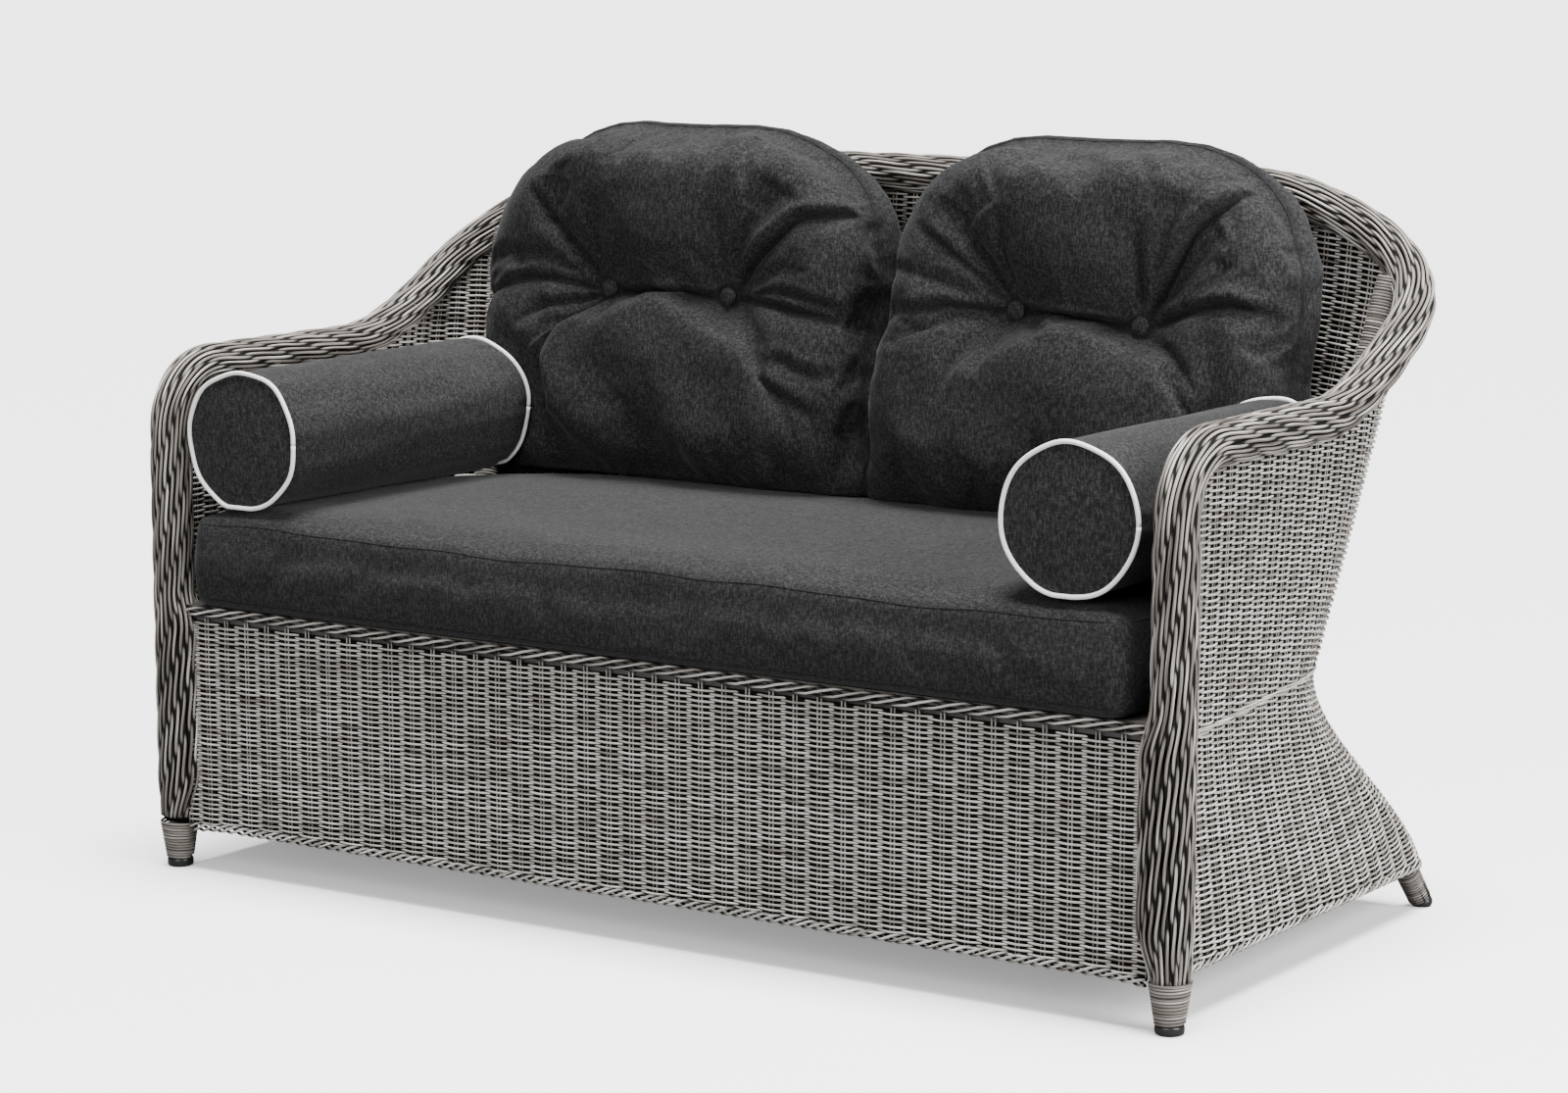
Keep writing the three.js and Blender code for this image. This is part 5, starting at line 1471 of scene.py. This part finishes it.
def bolster_grid(side, angle, ends):
    """The bolster's points in mm, station by station, with the cloth's slow waves and its gathers."""
    rng = np.random.default_rng(71 + side)
    ripple = [(rng.normal(0, 0.6), rng.integers(3, 16), rng.uniform(0, 6), rng.uniform(0.008, 0.03))
              for _ in range(14)]
    points = []
    for y, blend, share in bolster_stations():
        radius = ends[0] * (1 - blend) + ends[1] * blend
        if share == 1.0:
            from_end = min(y, BOLSTER_LONG - y)
            radius = radius - 2.2 * math.exp(-((from_end - 3) / 5) ** 2) * (from_end < 20)
            waves = sum(a * np.sin(n * angle + p) * math.cos(k * y) for a, n, p, k in ripple)
            gathers = sum(0.5 * np.sin(n * angle + n) for n in (17, 23, 29)) * math.exp(-from_end / 22)
            radius = radius + (waves * 0.55 * min(1, from_end / 30) + gathers)
        radius = radius * share
        depth = np.full(len(angle), y + BOLSTER_FRONT + BACK_SHIFT / MM)
        points.append(np.stack([side * BOLSTER_X + radius * np.cos(angle), depth,
                                BOLSTER_Z + radius * np.sin(angle)], -1))
    return np.array(points)


def bolster(word, side):
    angle = np.arange(BOLSTER_AROUND) * 2 * math.pi / BOLSTER_AROUND
    ends = [bolster_radius(angle, 51 + side), bolster_radius(angle, 61 + side)]
    grid = bolster_grid(side, angle, ends)
    starts = [r * BOLSTER_AROUND for r in range(len(grid))]
    faces = [(r + k, r + n, r + n + BOLSTER_AROUND, r + k + BOLSTER_AROUND)
             for r in starts[:-1] for k, n in enumerate([*range(1, BOLSTER_AROUND), 0])]
    faces.append(tuple(range(BOLSTER_AROUND))[::-1])
    faces.append(tuple(starts[-1] + k for k in range(BOLSTER_AROUND)))
    mesh = bpy.data.meshes.new("bolster_pad_" + word)
    mesh.from_pydata([tuple(p) for p in grid.reshape(-1, 3) * MM], [], faces)
    mesh.shade_smooth()
    piece = bpy.data.objects.new(mesh.name, mesh)
    bpy.context.scene.collection.objects.link(piece)
    face_outwards(piece)
    finish(piece, "bolster_" + word, "cushion_cloth", cloth, "bolster_" + word)
    piping("front", word, side, angle, -0.6, ends[0])
    piping("rear", word, side, angle, BOLSTER_LONG + 0.6, ends[1])
    print(piece.name, sum(len(f.vertices) - 2 for f in mesh.polygons), "triangles")


def piping(end, word, side, angle, y, radius):
    """The white cord in an end seam. At the rear its foot is sunk between bolster and seat."""
    loop = np.append(angle, angle[0])
    sunk = 5 * smooth(-np.sin(loop), 0.84, 0.97) * (end == "rear")
    wide = np.append(radius, radius[0]) - 0.4 - sunk
    line = np.stack([side * BOLSTER_X + wide * np.cos(loop), y + BOLSTER_FRONT - sunk,
                     BOLSTER_Z + wide * np.sin(loop)], -1)
    out = np.stack([np.cos(loop), np.zeros(len(loop)), np.sin(loop)], -1)
    cord = lay("piping_cord_" + end + "_" + word, [strand(line, out, 5.4)], 10, 1.0)
    finish(cord, "bolster_" + word, "piping", cord_white, "bolster_piping_" + end + "_" + word)


bolster("right", 1)
bolster("left", -1)

# %% [markdown]
# ## What stays of the frame
# The tubes, rails, spigots, slats and glides have their right shape in the CAD model, so they only get
# a finish. The tubes wear a dark powder coat. The deck under the seat cushion is woven too, but nobody
# sees it unless the cushion is lifted, so its strands are drawn by its material: rows of short floats,
# each half a float further along than the last. The floats are painted dark as the cushion's shadow,
# and the gaps between them near black as painted shade.

# %% Finishes of the frame's own parts
strap_tree, strap_in, strap_out = new_group(
    "woven_deck", {"Coordinates": ("vector", None)}, {"Color": "color", "Height": "value"})
# Painted shade: dark floats for the cushion's shadow over the deck, and near-black mortar for the shade
# between strands.
floats = node(strap_tree, "ShaderNodeTexBrick", {"offset": 0.5},
              Vector=stretched(strap_tree, strap_in.outputs["Coordinates"], (1000.0, 1000.0, 1000.0)),
              Color1=(0.10, 0.09, 0.08, 1), Color2=(0.05, 0.045, 0.04, 1), Mortar=(0.006, 0.005, 0.004, 1),
              **{"Scale": 1.0, "Mortar Size": 0.5, "Mortar Smooth": 0.6, "Brick Width": 15.0,
                 "Row Height": 3.6})
strap_tree.links.new(floats.outputs["Color"], strap_out.inputs["Color"])
raised = math_node(strap_tree, "SUBTRACT", 1.0, floats.outputs["Fac"])
strap_tree.links.new(raised, strap_out.inputs["Height"])

deck_woven, deck_tree, deck_shader = plain_material("deck_woven")
deck_place = node(deck_tree, "ShaderNodeTexCoord").outputs["Object"]
deck_finish = node(deck_tree, "ShaderNodeGroup", {"node_tree": strap_tree}, Coordinates=deck_place)
deck_tree.links.new(deck_finish.outputs["Color"], deck_shader.inputs["Base Color"])
deck_bump = node(deck_tree, "ShaderNodeBump", None, Height=deck_finish.outputs["Height"], Strength=0.8,
                 Distance=0.001)
deck_tree.links.new(deck_bump.outputs["Normal"], deck_shader.inputs["Normal"])
deck_shader.inputs["Roughness"].default_value = 0.6


# %% [markdown]
# ### Glides
# Each leg ends in a plug of black plastic, so that the cane never stands on wet ground. A cylinder
# with a rounded rim is turned along its leg, and what would reach below the ground is levelled off.

# %% Plugs
GLIDE_HIGH = 11.5


def glide(name, foot, axis, radius, node_name):
    """A plug with a rounded foot, cut level with the ground."""
    bpy.ops.mesh.primitive_cylinder_add(vertices=48, radius=radius * MM, depth=GLIDE_HIGH * MM)
    piece = bpy.context.object
    piece.name = piece.data.name = name
    rounded = piece.modifiers.new("rounded", "BEVEL")
    rounded.width = 3.6 * MM
    rounded.segments = 5
    bpy.ops.object.modifier_apply(modifier=rounded.name)
    axis = Vector(axis).normalized()
    turn = np.array(Vector((0, 0, 1)).rotation_difference(axis).to_matrix())
    points = places_of(piece.data) @ turn.T + (np.asarray(foot) + np.array(axis) * GLIDE_HIGH / 2) * MM
    points[:, 1] += BACK_SHIFT
    points[:, 2] = np.maximum(points[:, 2], 0)
    set_places(piece.data, points)
    bpy.ops.object.shade_smooth()
    finish(piece, "frame", "glide", glide_black, node_name)


glide_low, glide_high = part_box("front_glide_right")
glide_radius = (glide_high[0] - glide_low[0]) / 2 / MM
rear_low, rear_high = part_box("rear_glide_right")
rear_radius = (rear_high[0] - rear_low[0]) / 2 / MM - 1
rear_foot = leg[0] + splay * SKIRT_Z
for sign, word in ((1, "right"), (-1, "left")):
    glide("glide_front_" + word, (sign * ARM_X, 0, 0), (0, 0, 1), glide_radius, "front_glide_" + word)
    here = np.array([sign, 1, 1])
    glide("glide_rear_" + word, rear_foot * here, -splay * here, rear_radius, "rear_glide_" + word)
print("glides", round(glide_radius, 1), round(rear_radius, 1))

# %% Tubes and deck
for node_name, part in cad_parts.items():
    if part.hide_render:
        continue
    coat = deck_woven if node_name == "seat_deck" else glide_black if "glide" in node_name else tube_grey
    for index in range(len(part.material_slots)):
        part.material_slots[index].material = coat
    print(node_name, "wears", coat.name)
